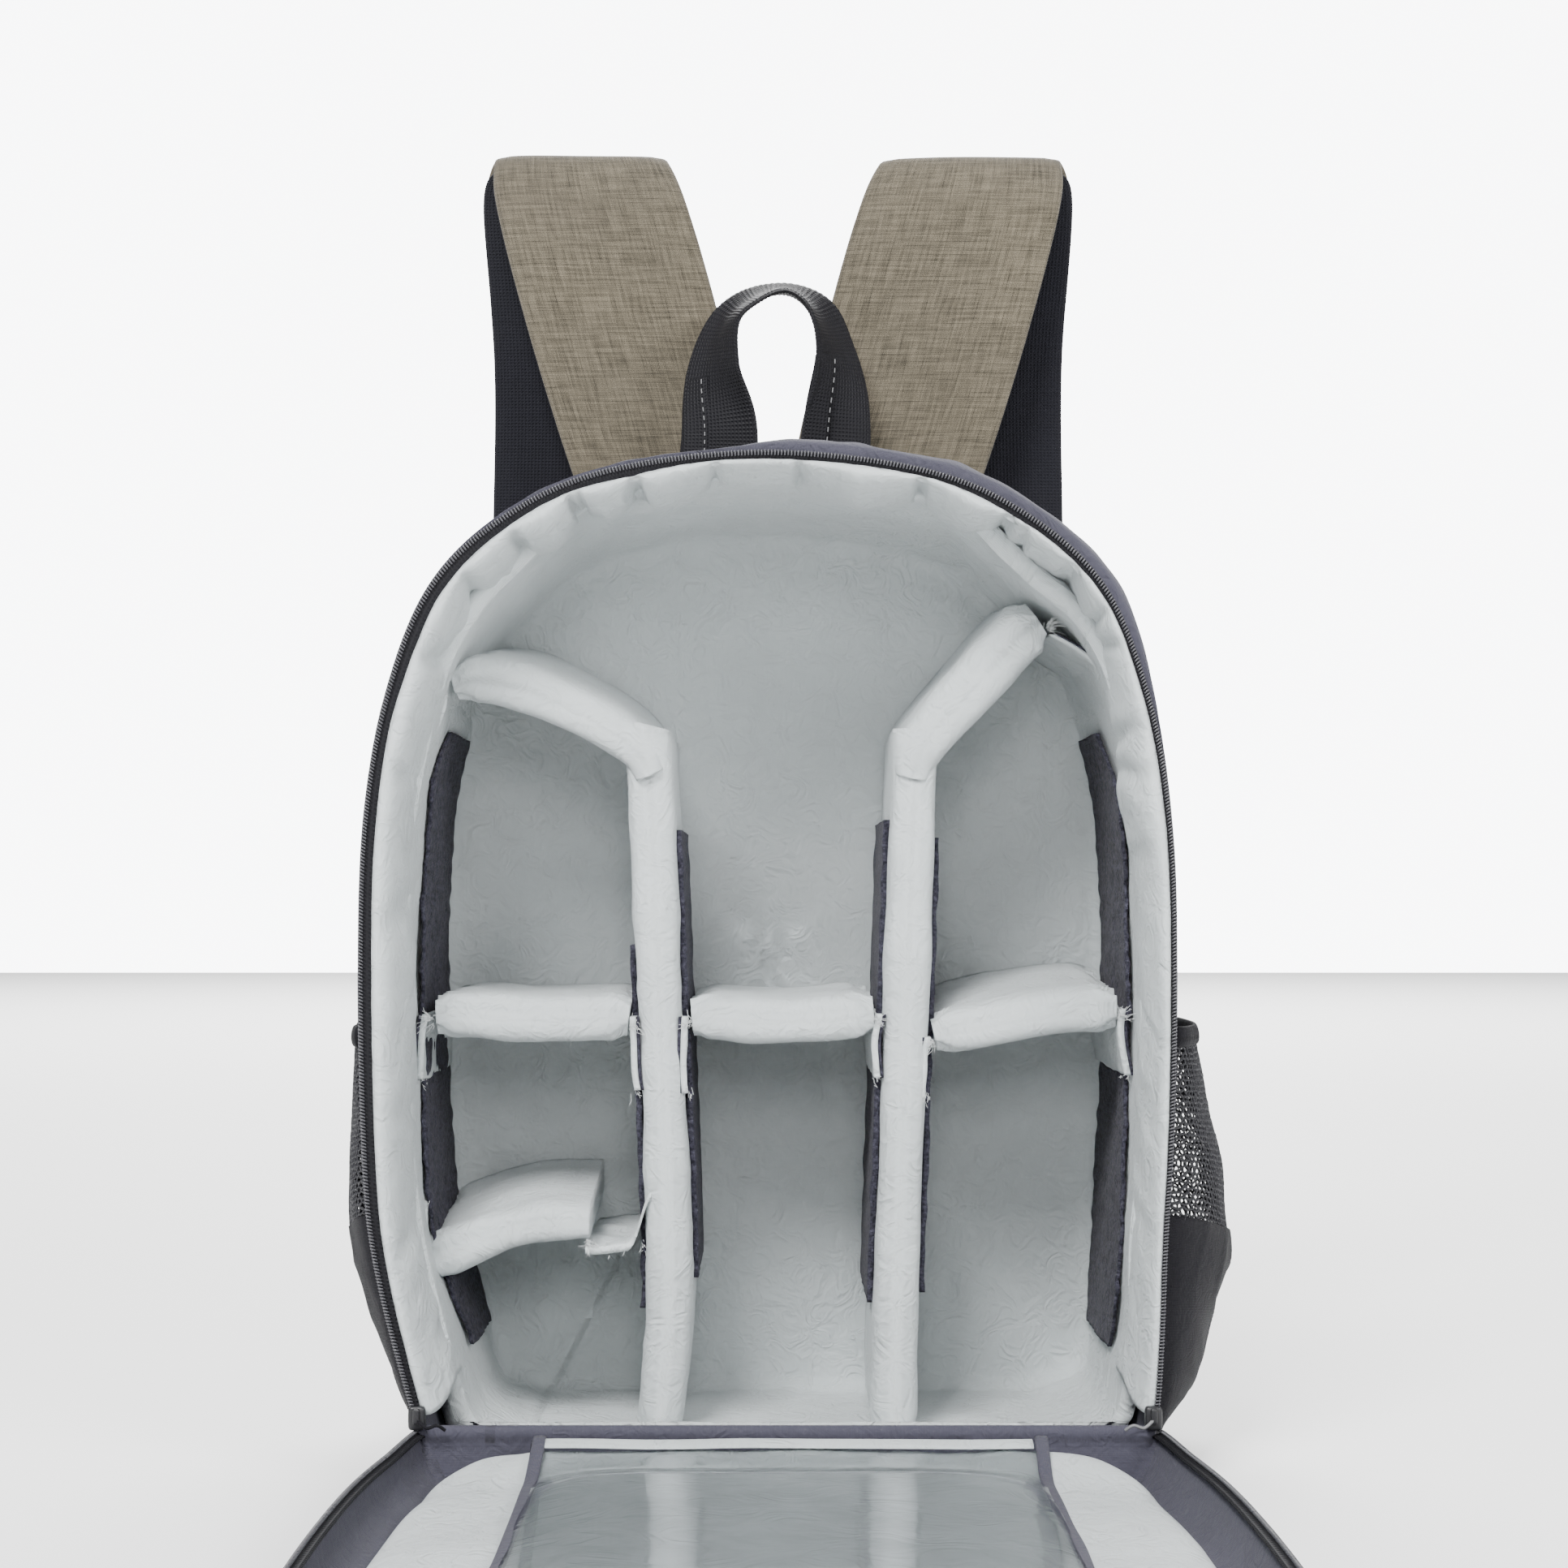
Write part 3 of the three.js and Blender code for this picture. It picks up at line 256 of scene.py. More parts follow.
studio = {
    "world": (0.95, 0.96, 0.98),
    "worldStrength": 0.4,
    "seenStrength": 9,       # the white that the camera sees behind the bag
    "floor": (0.93, 0.93, 0.925),
    "lamps": [
        # place, width, height, power, what it is aimed at
        ((-0.55, -1.35, 1.75), 0.7, 0.7, 74, (0, 0, 0.2)),
        ((1.3, -1.3, 1.0), 0.7, 0.7, 25, (0, 0, 0.2)),
        ((0.0, -1.9, 0.8), 0.5, 0.5, 13, (0, 0, 0.2)),
        ((0.2, 1.1, 1.5), 1.2, 0.8, 20, (0, 0, 0.3)),
        ((0.0, 3.4, 2.6), 5.0, 3.0, 520, (0, 3.4, 0)),
    ],
}


def addStudio():
    world = bpy.data.worlds.new("studio")
    world.use_nodes = True
    tree = world.node_tree
    sky = tree.nodes["Background"]
    sky.inputs["Color"].default_value = (*studio["world"], 1)
    seen = tree.nodes.new("ShaderNodeLightPath")
    level = tree.nodes.new("ShaderNodeMapRange")
    level.inputs["To Min"].default_value = studio["worldStrength"]
    level.inputs["To Max"].default_value = studio["seenStrength"]
    tree.links.new(seen.outputs["Is Camera Ray"], level.inputs["Value"])
    tree.links.new(level.outputs[0], sky.inputs["Strength"])
    bpy.context.scene.world = world
    for number, (where, width, height, power, aim) in enumerate(studio["lamps"]):
        data = bpy.data.lights.new(f"lamp{number}", "AREA")
        data.shape = "RECTANGLE"
        data.size, data.size_y, data.energy = width, height, power
        lamp = bpy.data.objects.new(f"lamp{number}", data)
        bpy.context.scene.collection.objects.link(lamp)
        lamp.location = where
        lamp.rotation_euler = (Vector(aim) - Vector(where)).to_track_quat("-Z", "Y").to_euler()
    bpy.ops.mesh.primitive_plane_add(size=12, location=(0, 0, -0.0004))
    floor = bpy.context.object
    floor.name = "floor"
    material = bpy.data.materials.new("paleFloor")
    material.use_nodes = True
    shader = material.node_tree.nodes["Principled BSDF"]
    shader.inputs["Base Color"].default_value = (*studio["floor"], 1)
    shader.inputs["Roughness"].default_value = 0.7
    floor.data.materials.append(material)


addCamera()
addStudio()
print("camera and studio ready")


# Node groups for what several finishes share

def addNode(tree, kind, inputs=None, **settings):
    node = tree.nodes.new("ShaderNode" + kind)
    for key, value in settings.items():
        setattr(node, key, value)
    for key, value in (inputs or {}).items():
        if isinstance(value, bpy.types.NodeSocket):
            tree.links.new(value, node.inputs[key])
        else:
            node.inputs[key].default_value = value
    return node


def startGroup(name, inputs, outputs):
    group = bpy.data.node_groups.new(name, "ShaderNodeTree")
    group.interface.new_socket(name="Vector", in_out="INPUT", socket_type="NodeSocketVector")
    for label, value in inputs.items():
        socket = group.interface.new_socket(name=label, in_out="INPUT", socket_type="NodeSocketFloat")
        socket.default_value = value
    for label in outputs:
        group.interface.new_socket(name=label, in_out="OUTPUT", socket_type="NodeSocketFloat")
    return group, group.nodes.new("NodeGroupInput").outputs, group.nodes.new("NodeGroupOutput").inputs


def calculate(tree, operation, *values):
    return addNode(tree, "Math", dict(enumerate(values)), operation=operation).outputs[0]


def ranged(tree, value, low, high, start, end):
    return addNode(tree, "MapRange", {0: value, 1: low, 2: high, 3: start, 4: end}).outputs[0]


def threadGroup():
    # threads that cross: a plain weave with uneven thick and thin threads
    group, given, made = startGroup("threadGrain", {"Threads": 1500.0, "Slub": 0.5}, ("Shade", "Height"))
    parts = addNode(group, "SeparateXYZ", {0: given["Vector"]}).outputs
    shades, waves = [], []
    for axis, shape in (("X", (1.0, 0.06, 1.0)), ("Y", (0.06, 1.0, 1.0))):
        turns = calculate(group, "MULTIPLY", parts[axis], given["Threads"])
        wave = calculate(group, "SINE", calculate(group, "MULTIPLY", turns, 2 * math.pi))
        waves.append(calculate(group, "MULTIPLY_ADD", wave, 0.5, 0.5))
        drawn = addNode(group, "VectorMath", {0: given["Vector"], 1: shape}, operation="MULTIPLY").outputs[0]
        noise = addNode(group, "TexNoise", {
            "Vector": drawn, "Scale": calculate(group, "MULTIPLY", given["Threads"], 0.55),
            "Detail": 2.0, "Roughness": 0.6})
        shades.append(noise.outputs["Fac"])
    over = calculate(group, "GREATER_THAN", *waves)
    thread = addNode(group, "Mix", {"Factor": over, 2: shades[0], 3: shades[1]}).outputs[0]
    spread = calculate(group, "MULTIPLY_ADD", calculate(group, "SUBTRACT", thread, 0.5), given["Slub"], 0.5)
    group.links.new(spread, made["Shade"])
    group.links.new(calculate(group, "MAXIMUM", *waves), made["Height"])
    return group


def wrinkleGroup():
    # soft unevenness of cloth over padding
    group, given, made = startGroup("clothWrinkle", {"Scale": 60.0}, ("Height",))
    wide = addNode(group, "TexNoise", {
        "Vector": given["Vector"], "Scale": given["Scale"], "Detail": 3.0, "Distortion": 0.8})
    folds = addNode(group, "TexNoise", {
        "Vector": given["Vector"], "Scale": calculate(group, "MULTIPLY", given["Scale"], 2.6),
        "Detail": 2.0, "Distortion": 1.6})
    ridge = calculate(group, "ABSOLUTE", calculate(group, "SUBTRACT", folds.outputs["Fac"], 0.5))
    group.links.new(calculate(group, "SUBTRACT", wide.outputs["Fac"], ridge), made["Height"])
    return group


def pileGroup():
    # brushed loops: clumps of short fibre with lighter tips
    group, given, made = startGroup("loopPile", {"Scale": 900.0}, ("Shade", "Height"))
    clumps = addNode(group, "TexVoronoi", {"Vector": given["Vector"], "Scale": given["Scale"]})
    tufts = addNode(group, "TexNoise", {
        "Vector": given["Vector"], "Scale": calculate(group, "MULTIPLY", given["Scale"], 0.45),
        "Detail": 4.0, "Roughness": 0.75}).outputs["Fac"]
    clump = calculate(group, "SUBTRACT", 1.0, clumps.outputs["Distance"])
    group.links.new(calculate(group, "MULTIPLY", clump, tufts), made["Height"])
    group.links.new(ranged(group, tufts, 0.38, 0.68, 0.0, 1.0), made["Shade"])
    return group


def wearGroup():
    # handling marks and dust that lies on what faces up
    group, given, made = startGroup("dustAndWear", {"Scale": 14.0, "Dust": 0.1}, ("Dust", "Patches"))
    patches = addNode(group, "TexNoise", {
        "Vector": given["Vector"], "Scale": given["Scale"], "Detail": 4.0, "Roughness": 0.6})
    specks = addNode(group, "TexNoise", {
        "Vector": given["Vector"], "Scale": calculate(group, "MULTIPLY", given["Scale"], 60.0),
        "Detail": 2.0})
    normal = addNode(group, "NewGeometry").outputs["Normal"]
    up = addNode(group, "SeparateXYZ", {0: normal}).outputs["Z"]
    speck = ranged(group, specks.outputs["Fac"], 0.56, 0.72, 0.0, 1.0)
    amount = calculate(group, "MULTIPLY", speck, ranged(group, up, -0.2, 1.0, 0.2, 1.0))
    group.links.new(calculate(group, "MULTIPLY", amount, given["Dust"]), made["Dust"])
    group.links.new(patches.outputs["Fac"], made["Patches"])
    return group


groups = {"thread": threadGroup(), "wrinkle": wrinkleGroup(), "pile": pileGroup(), "wear": wearGroup()}


def placeGroup(tree, name, inputs):
    return addNode(tree, "Group", inputs, node_tree=groups[name]).outputs


def startMaterial(name):
    material = bpy.data.materials.new(name)
    material.use_nodes = True
    tree = material.node_tree
    return material, tree, tree.nodes["Principled BSDF"].inputs, addNode(tree, "TexCoord").outputs


def clothMaterial(name, look):
    # look names the dark and light thread colours, the weave or pile, the wrinkles and the gloss
    material, tree, shader, coords = startMaterial(name)
    if look.get("pile"):
        grain = placeGroup(tree, "pile", {"Vector": coords["Object"], "Scale": look["pile"]})
    else:
        grain = placeGroup(tree, "thread", {
            "Vector": coords["UV"], "Threads": look["threads"], "Slub": look.get("slub", 0.5)})
    wear = placeGroup(tree, "wear", {"Vector": coords["Object"], "Scale": 14, "Dust": look.get("dust", 0.12)})
    color = addNode(tree, "Mix", {
        "Factor": grain["Shade"], 6: (*look["dark"], 1), 7: (*look["light"], 1)}, data_type="RGBA")
    patchy = look.get("patchy", 0.06)
    shaded = addNode(tree, "VectorMath", {
        0: color.outputs[2], "Scale": ranged(tree, wear["Patches"], 0.3, 0.7, 1 - patchy, 1 + patchy)},
        operation="SCALE")
    dusted = addNode(tree, "Mix", {
        "Factor": wear["Dust"], 6: shaded.outputs[0], 7: (0.5, 0.48, 0.45, 1)}, data_type="RGBA")
    tree.links.new(dusted.outputs[2], shader["Base Color"])
    rough = ranged(tree, wear["Patches"], 0.3, 0.7, look["rough"] - 0.05, min(1, look["rough"] + 0.05))
    tree.links.new(rough, shader["Roughness"])
    relief = addNode(tree, "Bump", {
        "Height": grain["Height"], "Distance": look.get("grainDepth", 0.15) * mm, "Strength": 1.0})
    if look.get("wrinkleDepth"):
        soft = placeGroup(tree, "wrinkle", {"Vector": coords["Object"], "Scale": look["wrinkleScale"]})
        relief = addNode(tree, "Bump", {
            "Height": soft["Height"], "Distance": look["wrinkleDepth"] * mm, "Strength": 1.0,
            "Normal": relief.outputs[0]})
    tree.links.new(relief.outputs[0], shader["Normal"])
    shader["Sheen Weight"].default_value = look.get("sheen", 0.2)
    shader["Sheen Roughness"].default_value = look.get("sheenRough", 0.5)
    shader["Specular IOR Level"].default_value = look.get("specular", 0.35)
    return material


def plainMaterial(name, color, roughness):
    # moulded plastic with fine grain and a little wear
    material, tree, shader, coords = startMaterial(name)
    wear = placeGroup(tree, "wear", {"Vector": coords["Object"], "Scale": 60, "Dust": 0.1})
    dusted = addNode(tree, "Mix", {
        "Factor": wear["Dust"], 6: (*color, 1), 7: (0.4, 0.4, 0.4, 1)}, data_type="RGBA")
    tree.links.new(dusted.outputs[2], shader["Base Color"])
    rough = ranged(tree, wear["Patches"], 0.3, 0.7, roughness - 0.08, roughness + 0.08)
    tree.links.new(rough, shader["Roughness"])
    grain = addNode(tree, "TexNoise", {"Vector": coords["Object"], "Scale": 2500.0})
    relief = addNode(tree, "Bump", {"Height": grain.outputs["Fac"], "Distance": 0.04 * mm})
    tree.links.new(relief.outputs[0], shader["Normal"])
    return material


def filmMaterial(name):
    # clear film, a little cloudy where it has been handled
    material, tree, shader, coords = startMaterial(name)
    wear = placeGroup(tree, "wear", {"Vector": coords["Object"], "Scale": 22, "Dust": 0.1})
    tree.links.new(ranged(tree, wear["Patches"], 0.35, 0.75, 0.05, 0.18), shader["Roughness"])
    waves = placeGroup(tree, "wrinkle", {"Vector": coords["Object"], "Scale": 14})
    relief = addNode(tree, "Bump", {"Height": waves["Height"], "Distance": 0.15 * mm})
    tree.links.new(relief.outputs[0], shader["Normal"])
    shader["Base Color"].default_value = (0.93, 0.95, 0.96, 1)
    shader["Metallic"].default_value = 0
    shader["Transmission Weight"].default_value = 1
    shader["IOR"].default_value = 1.4
    return material


clothLooks = {
    "shell": {"dark": (0.034, 0.033, 0.05), "light": (0.072, 0.07, 0.098), "rough": 0.8, "threads": 2200,
              "wrinkleDepth": 1.2, "wrinkleScale": 40, "sheen": 0.08, "dust": 0.04},
    "piping": {"dark": (0.014, 0.0135, 0.02), "light": (0.04, 0.039, 0.053), "rough": 0.7, "threads": 2200,
               "dust": 0.02, "sheen": 0.03},
    "black": {"dark": (0.0024, 0.0022, 0.0036), "light": (0.009, 0.0086, 0.0125), "rough": 0.75,
              "threads": 1800, "wrinkleDepth": 0.8, "wrinkleScale": 60, "dust": 0.01, "sheen": 0.015,
              "specular": 0.2},
    "webbing": {"dark": (0.0015, 0.0014, 0.0023), "light": (0.0085, 0.0082, 0.0115), "rough": 0.62,
                "threads": 620, "grainDepth": 0.35, "slub": 0.8, "dust": 0.01, "sheen": 0.015,
                "specular": 0.2},
    "mesh": {"dark": (0.002, 0.002, 0.0034), "light": (0.012, 0.012, 0.018), "rough": 0.85,
             "threads": 700, "grainDepth": 0.5, "dust": 0.01, "sheen": 0.02, "specular": 0.2},
    "khaki": {"dark": (0.03, 0.025, 0.015), "light": (0.168, 0.143, 0.1), "rough": 0.85,
              "threads": 1500, "slub": 2.4, "grainDepth": 0.25, "sheen": 0.1, "patchy": 0.1, "dust": 0.03},
    "lining": {"dark": (0.52, 0.565, 0.575), "light": (0.67, 0.715, 0.72), "rough": 0.45,
               "threads": 2600, "wrinkleDepth": 2.4, "wrinkleScale": 34, "specular": 0.5,
               "dust": 0.03, "patchy": 0.04},
    "velvet": {"dark": (0.011, 0.0107, 0.017), "light": (0.064, 0.062, 0.087), "rough": 0.95, "pile": 1100,
               "grainDepth": 0.8, "sheen": 0.06, "sheenRough": 0.4, "dust": 0.05, "specular": 0.2},
    "fray": {"dark": (0.6, 0.62, 0.62), "light": (0.8, 0.82, 0.82), "rough": 0.8, "threads": 2000},
}
# colour and roughness
plainLooks = {
    "plastic": ((0.012, 0.012, 0.014), 0.42),
    "teeth": ((0.05, 0.05, 0.057), 0.28),
    "tail": ((0.16, 0.16, 0.165), 0.5),
    "netCord": ((0.012, 0.012, 0.016), 0.6),
}
finishes = {name: clothMaterial(name, look) for name, look in clothLooks.items()}
finishes.update({name: plainMaterial(name, *look) for name, look in plainLooks.items()})
finishes["film"] = filmMaterial("clearFilm")
print("materials ready")


# The outline of the opening, right half: share of half the width, share of the height

outlineRows = [
    (0.745, 0), (0.862, 0.02), (0.906, 0.064), (0.96, 0.191), (0.99, 0.32), (1, 0.5),
    (0.988, 0.643), (0.935, 0.764), (0.827, 0.87), (0.64, 0.939), (0.392, 0.982), (0, 1),
]
perRow = 60
archLine = spline([(-half, up) for half, up in outlineRows] + outlineRows[-2::-1], perRow)
archAt = lengthsAlong(archLine)
archAt = archAt / archAt[-1]
leftCount = (len(outlineRows) - 1) * perRow + 1


def shareAtUp(up):
    return np.interp(up, archLine[:leftCount, 1], archAt[:leftCount])


def leanAt(up):
    return body["footLean"] * (1 - ease(up / body["leanEnd"]))


def archXAt(share):
    return np.interp(share, archAt, archLine[:, 0])


def bodyPoint(share, y, inset, floor=0.0):
    # share runs round the arch from the left foot to the right foot
    up = np.interp(share, archAt, archLine[:, 1])
    wide = archXAt(share) * (body["halfWidth"] - inset) + leanAt(up)
    high = floor + up * (body["height"] - inset - floor)
    return np.stack(np.broadcast_arrays(wide, y, high), -1).astype(float)


def taperAt(y):
    return body["taper"] * np.clip((y - body["frontY"]) / depth, 0, 1) ** 2


def window(share, low, high, soft):
    return ease((share - low) / soft + 0.5) * ease((high - share) / soft + 0.5)


hingeShare = float(shareAtUp((body["hinge"] + body["hingeClear"]) / body["height"]))
archColumns, baseColumns = 380, 60
ringShare = np.concatenate([np.linspace(0, 1, archColumns + 1), np.ones(baseColumns - 1)])
ringBase = np.concatenate([np.zeros(archColumns + 1), np.linspace(0, 1, baseColumns + 1)[1:-1]])


def archShares(count):
    return np.linspace(hingeShare, 1 - hingeShare, count)


def evenShares(pointAt, pitch):
    # shares of the arch that lie one pitch apart
    share = archShares(3000)
    far = lengthsAlong(pointAt(share))
    return np.interp(np.linspace(0, far[-1], int(far[-1] / pitch)), far, share)


def ringRow(y, inset, floor, lip=0):
    # a closed ring round the body at one depth, along its floor from the right foot to the left
    inset = np.broadcast_to(inset, ringShare.shape)
    point = bodyPoint(ringShare, y, inset, floor)
    point = mix(point, bodyPoint(0.0, y, inset[0], floor), ringBase[:, None])
    point[:, 2] = np.maximum(point[:, 2], lip)
    return point


# Outer cloth: a soft tub that swells up behind the opening, more on the right

shell = {
    "wall": 2 * mm,
    "lip": 24.6 * mm,
    "swellRight": 7 * mm,
    "swellLeft": 2.6 * mm,
    "swellDepth": 20 * mm,     # how far behind the opening it is highest
    "ripple": 0.9 * mm,
    "sideRows": 30,
}


def shellPush(y):
    # how far the side wall stands out, by the share of the arch and the depth
    back = (y - body["frontY"]) / depth
    rise = np.clip((y - body["frontY"]) / shell["swellDepth"], 0, None)
    swell = shell["swellRight"] * window(ringShare, 0.49, 0.76, 0.07)
    swell = swell + shell["swellLeft"] * window(ringShare, 0.3, 0.49, 0.08)
    waves = ripples(ringShare, y, 0.075, 3) + 0.6 * ripples(ringShare, y, 0.03, 4)
    high = ease((np.minimum(ringShare, 1 - ringShare) - 0.03) / 0.05) * (ringBase == 0)
    fade = ease(back * 8) * ease((1 - back) * 6)
    return (swell * rise * np.exp(1 - rise) + shell["ripple"] * waves * fade) * high


def pushOut(points, amount):
    out = points - np.array([0, 0, 0.45 * body["height"]])
    out[:, 1] = 0
    return points + unit(out) * np.asarray(amount)[:, None]


def toMiddle(ring, share):
    # draws a ring in toward the middle of its own face
    return mix(ring, np.array([0, ring[:, 1].mean(), 0.5 * body["height"]]), share)


def buildShell():
    face = ringRow(body["backY"], body["taper"] + body["backRound"], body["backRound"])
    rows = [toMiddle(face, share) for share in (0.8, 0.5, 0.25, 0.1)]
    for turn in np.linspace(0, math.pi / 2, 7):
        edge = body["backRound"] * (1 - math.sin(turn))
        y = body["backY"] - body["backRound"] * (1 - math.cos(turn))
        rows.append(ringRow(y, taperAt(y) + edge, edge))
    for y in np.linspace(body["backY"] - body["backRound"], body["frontY"] + 3 * mm, shell["sideRows"])[1:]:
        rows.append(pushOut(ringRow(y, taperAt(y), 0), shellPush(y)))
    low = np.where(ringBase > 0, 1, ease((0.062 - np.minimum(ringShare, 1 - ringShare)) / 0.012))
    front = body["frontY"] + mix(4.2 * mm, 1.2 * mm, low)    # behind the teeth, and forward at the lip
    rows.append(ringRow(front + 0.6 * mm, 0.5 * mm, 0.5 * mm, 3 * mm))
    for share in np.linspace(0, 1, 7):
        y = front + 0.5 * mm * math.sin(share * 5)
        rows.append(ringRow(y, 1.2 * mm, 0.5 * mm, mix(3 * mm, shell["lip"] - 0.6 * mm, share)))
    rows.append(ringRow(front + 0.8 * mm, 1.8 * mm, 1 * mm, shell["lip"]))
    rows.append(ringRow(front + shell["wall"], 2.3 * mm, 2 * mm, shell["lip"] - 0.4 * mm))
    for y in np.linspace(body["frontY"] + 8 * mm, body["backY"] - 4 * mm, 10):
        rows.append(pushOut(ringRow(y, taperAt(y) + shell["wall"], shell["wall"]), shellPush(y)))
    face = face - [0, shell["wall"], 0]
    rows += [toMiddle(face, share) for share in (0.1, 0.5, 0.8)]
    addPiece("outerCloth", cupParts(rows), "shell", ["shell"])


piping = {"radius": 1.1 * mm, "inset": 1.2 * mm, "back": 3.4 * mm, "columns": 420}


def buildPiping():
    line = bodyPoint(archShares(piping["columns"]), body["frontY"] + piping["back"], piping["inset"])
    addPiece("edgePiping", tubeParts(line, piping["radius"]), "piping", ["piping"])


# Zip: a black tape and a fine row of coil teeth at the outer edge

zipper = {
    "pitch": 1.25 * mm,
    "toothLength": 2.2 * mm,
    "toothRadius": 0.42 * mm,
    "teethInset": 1.3 * mm,    # middle of the teeth
    "teethBack": 0.9 * mm,     # behind the opening plane
    "tapeFrom": 0.6 * mm,
    "tapeBack": 1.7 * mm,
    "tapeThick": 0.7 * mm,
    "columns": 420,
}


def teethParts(line, across, front):
    # one small rounded bar for each tooth; across and front give its directions
    bars = np.array([-1, -0.8, 0, 0.8, 1]) * zipper["toothLength"] / 2
    radii = np.array([0.35, 0.85, 1, 0.85, 0.35]) * zipper["toothRadius"]
    turns = np.arange(6) * math.pi / 3
    along = unit(np.gradient(line, axis=0))
    middle = line[:, None, None] + across[:, None, None] * bars[None, :, None, None]
    ring = along[:, None, None] * np.cos(turns)[None, None, :, None]
    ring = ring + front[:, None, None] * np.sin(turns)[None, None, :, None]
    points = middle + ring * radii[None, :, None, None]
    size, count = len(bars) * len(turns), len(line)
    tooth = ringFaces(len(bars), len(turns))
    faces = [[corner + size * k for corner in face] for k in range(count) for face in tooth]
    return points.reshape(-1, 3), faces, np.zeros((count * size, 2))


def buildZip():
    share = evenShares(lambda share: bodyPoint(share, 0.0, zipper["teethInset"]), zipper["pitch"])
    y = body["frontY"] + zipper["teethBack"]
    line = bodyPoint(share, y, zipper["teethInset"])
    across = unit(bodyPoint(share, y, zipper["teethInset"] + 1 * mm) - line)
    front = np.tile([0.0, -1.0, 0.0], (len(line), 1))
    addPiece("zipTeeth", teethParts(line, across, front), "teeth", ["zip_teeth"])
    share = archShares(zipper["columns"])[None, :]
    table = np.array(rimReachRows)
    end = (np.interp(share, table[:, 0], table[:, 1]) + 0.4) * mm     # just under the rim
    inset = mix(zipper["tapeFrom"], end, np.linspace(0, 1, 7)[:, None])
    y = body["frontY"] + zipper["tapeBack"] + 0.1 * (inset - zipper["tapeFrom"])
    top = bodyPoint(share, y, inset)
    addPiece("zipTape", sheetParts(top, top + [0, zipper["tapeThick"], 0]), "webbing", ["zip_tape"])


# The padded rim rolls from the tape into the cavity, gathered into lobes

rim = {
    "pad": 4.5 * mm,
    "columns": 600,
    "puff": 4 * mm,
    "wrinkle": 0.5 * mm,
    # across the pad: share of its reach, distance behind the opening plane in mm
    "section": [(0, 1.8), (0.3, 1.0), (0.62, 6), (0.86, 18), (0.98, 32), (1, 40), (0.93, 46), (0.7, 49)],
}
# share of the arch, how far in the pad begins and how far in its inner edge lies, in mm
rimReachRows = [
    (0.05, 4.5, 15), (0.066, 5, 12), (0.1, 5.4, 13.5), (0.164, 5.4, 15.7), (0.209, 5, 13.3),
    (0.233, 4.6, 13.7), (0.252, 5.2, 14.5), (0.263, 5.4, 11.2), (0.275, 5, 12.4), (0.288, 4.9, 9.6),
    (0.306, 4.6, 12.5), (0.327, 4.4, 9.4), (0.345, 4.2, 14.8), (0.371, 4.2, 6.9), (0.390, 4.6, 12.4),
    (0.411, 5, 5.6), (0.420, 4.4, 12.2), (0.441, 3.8, 9.6), (0.463, 3.4, 6.2), (0.497, 3.6, 7.4),
    (0.526, 3.7, 6.6), (0.566, 3.5, 13.2), (0.606, 3.4, 5.4), (0.640, 3.8, 11.8), (0.661, 4, 4.8),
    (0.680, 3.6, 7.8), (0.710, 3.4, 5.2), (0.730, 2.8, 7.2), (0.745, 2.8, 6.4), (0.783, 2.7, 13.2),
    (0.814, 2.6, 8.9), (0.836, 2.6, 8.6), (0.879, 2.4, 8), (0.923, 2, 8), (0.949, 2, 11),
]
# creases: share of the arch at the tape and at the inner edge, depth, width as a share of the arch
rimCreases = [
    (0.092, 0.099, 0.35, 0.004), (0.131, 0.127, 0.3, 0.003), (0.182, 0.187, 0.35, 0.004),
    (0.222, 0.219, 0.4, 0.003), (0.256, 0.263, 0.9, 0.0035), (0.295, 0.287, 0.9, 0.004),
    (0.328, 0.327, 0.9, 0.004), (0.3675, 0.369, 1.0, 0.003), (0.374, 0.3735, 0.8, 0.0025),
    (0.412, 0.411, 1.0, 0.004), (0.466, 0.463, 0.8, 0.004), (0.519, 0.527, 0.7, 0.004),
    (0.548, 0.545, 0.3, 0.003), (0.600, 0.607, 1.0, 0.004), (0.660, 0.661, 1.0, 0.0035),
    (0.672, 0.678, 0.6, 0.003), (0.704, 0.71, 0.8, 0.004), (0.728, 0.731, 0.7, 0.003),
    (0.742, 0.737, 0.6, 0.003), (0.766, 0.77, 0.7, 0.003), (0.781, 0.776, 0.7, 0.003),
    (0.80, 0.806, 0.4, 0.004), (0.851, 0.845, 0.35, 0.003), (0.9, 0.905, 0.35, 0.004),
]


def rimShape(share, along):
    # along runs from the tape, 0, to the hidden inner end, 1
    table = np.array(rimReachRows)
    section = spline(rim["section"], 20)
    at = lengthsAlong(section * [12, 1])
    at = at / at[-1]
    reach, back = np.interp(along, at, section[:, 0]), np.interp(along, at, section[:, 1])
    start = np.interp(share, table[:, 0], table[:, 1])
    spread = np.linspace(-0.006, 0.006, 7)
    end = sum(np.interp(share + s, table[:, 0], table[:, 2]) for s in spread) / len(spread)
    crease = 1
    for tape, inner, deep, wide in rimCreases:
        crease = crease * (1 - deep * np.exp(-((share - mix(tape, inner, along)) / wide) ** 2))
    puffed = rim["puff"] * (crease - 0.55) * np.sin(np.pi * np.clip(along, 0, 1)) ** 0.7
    small = ripples(share, along * 0.02, 0.016, 9) * rim["wrinkle"]
    small = small + creases(share, along * 0.02, 0.03, 10) * rim["wrinkle"]
    small = small * np.sin(np.pi * np.clip(along * 0.9 + 0.05, 0, 1))
    return (start + (end - start) * reach) * mm, back * mm, puffed + small


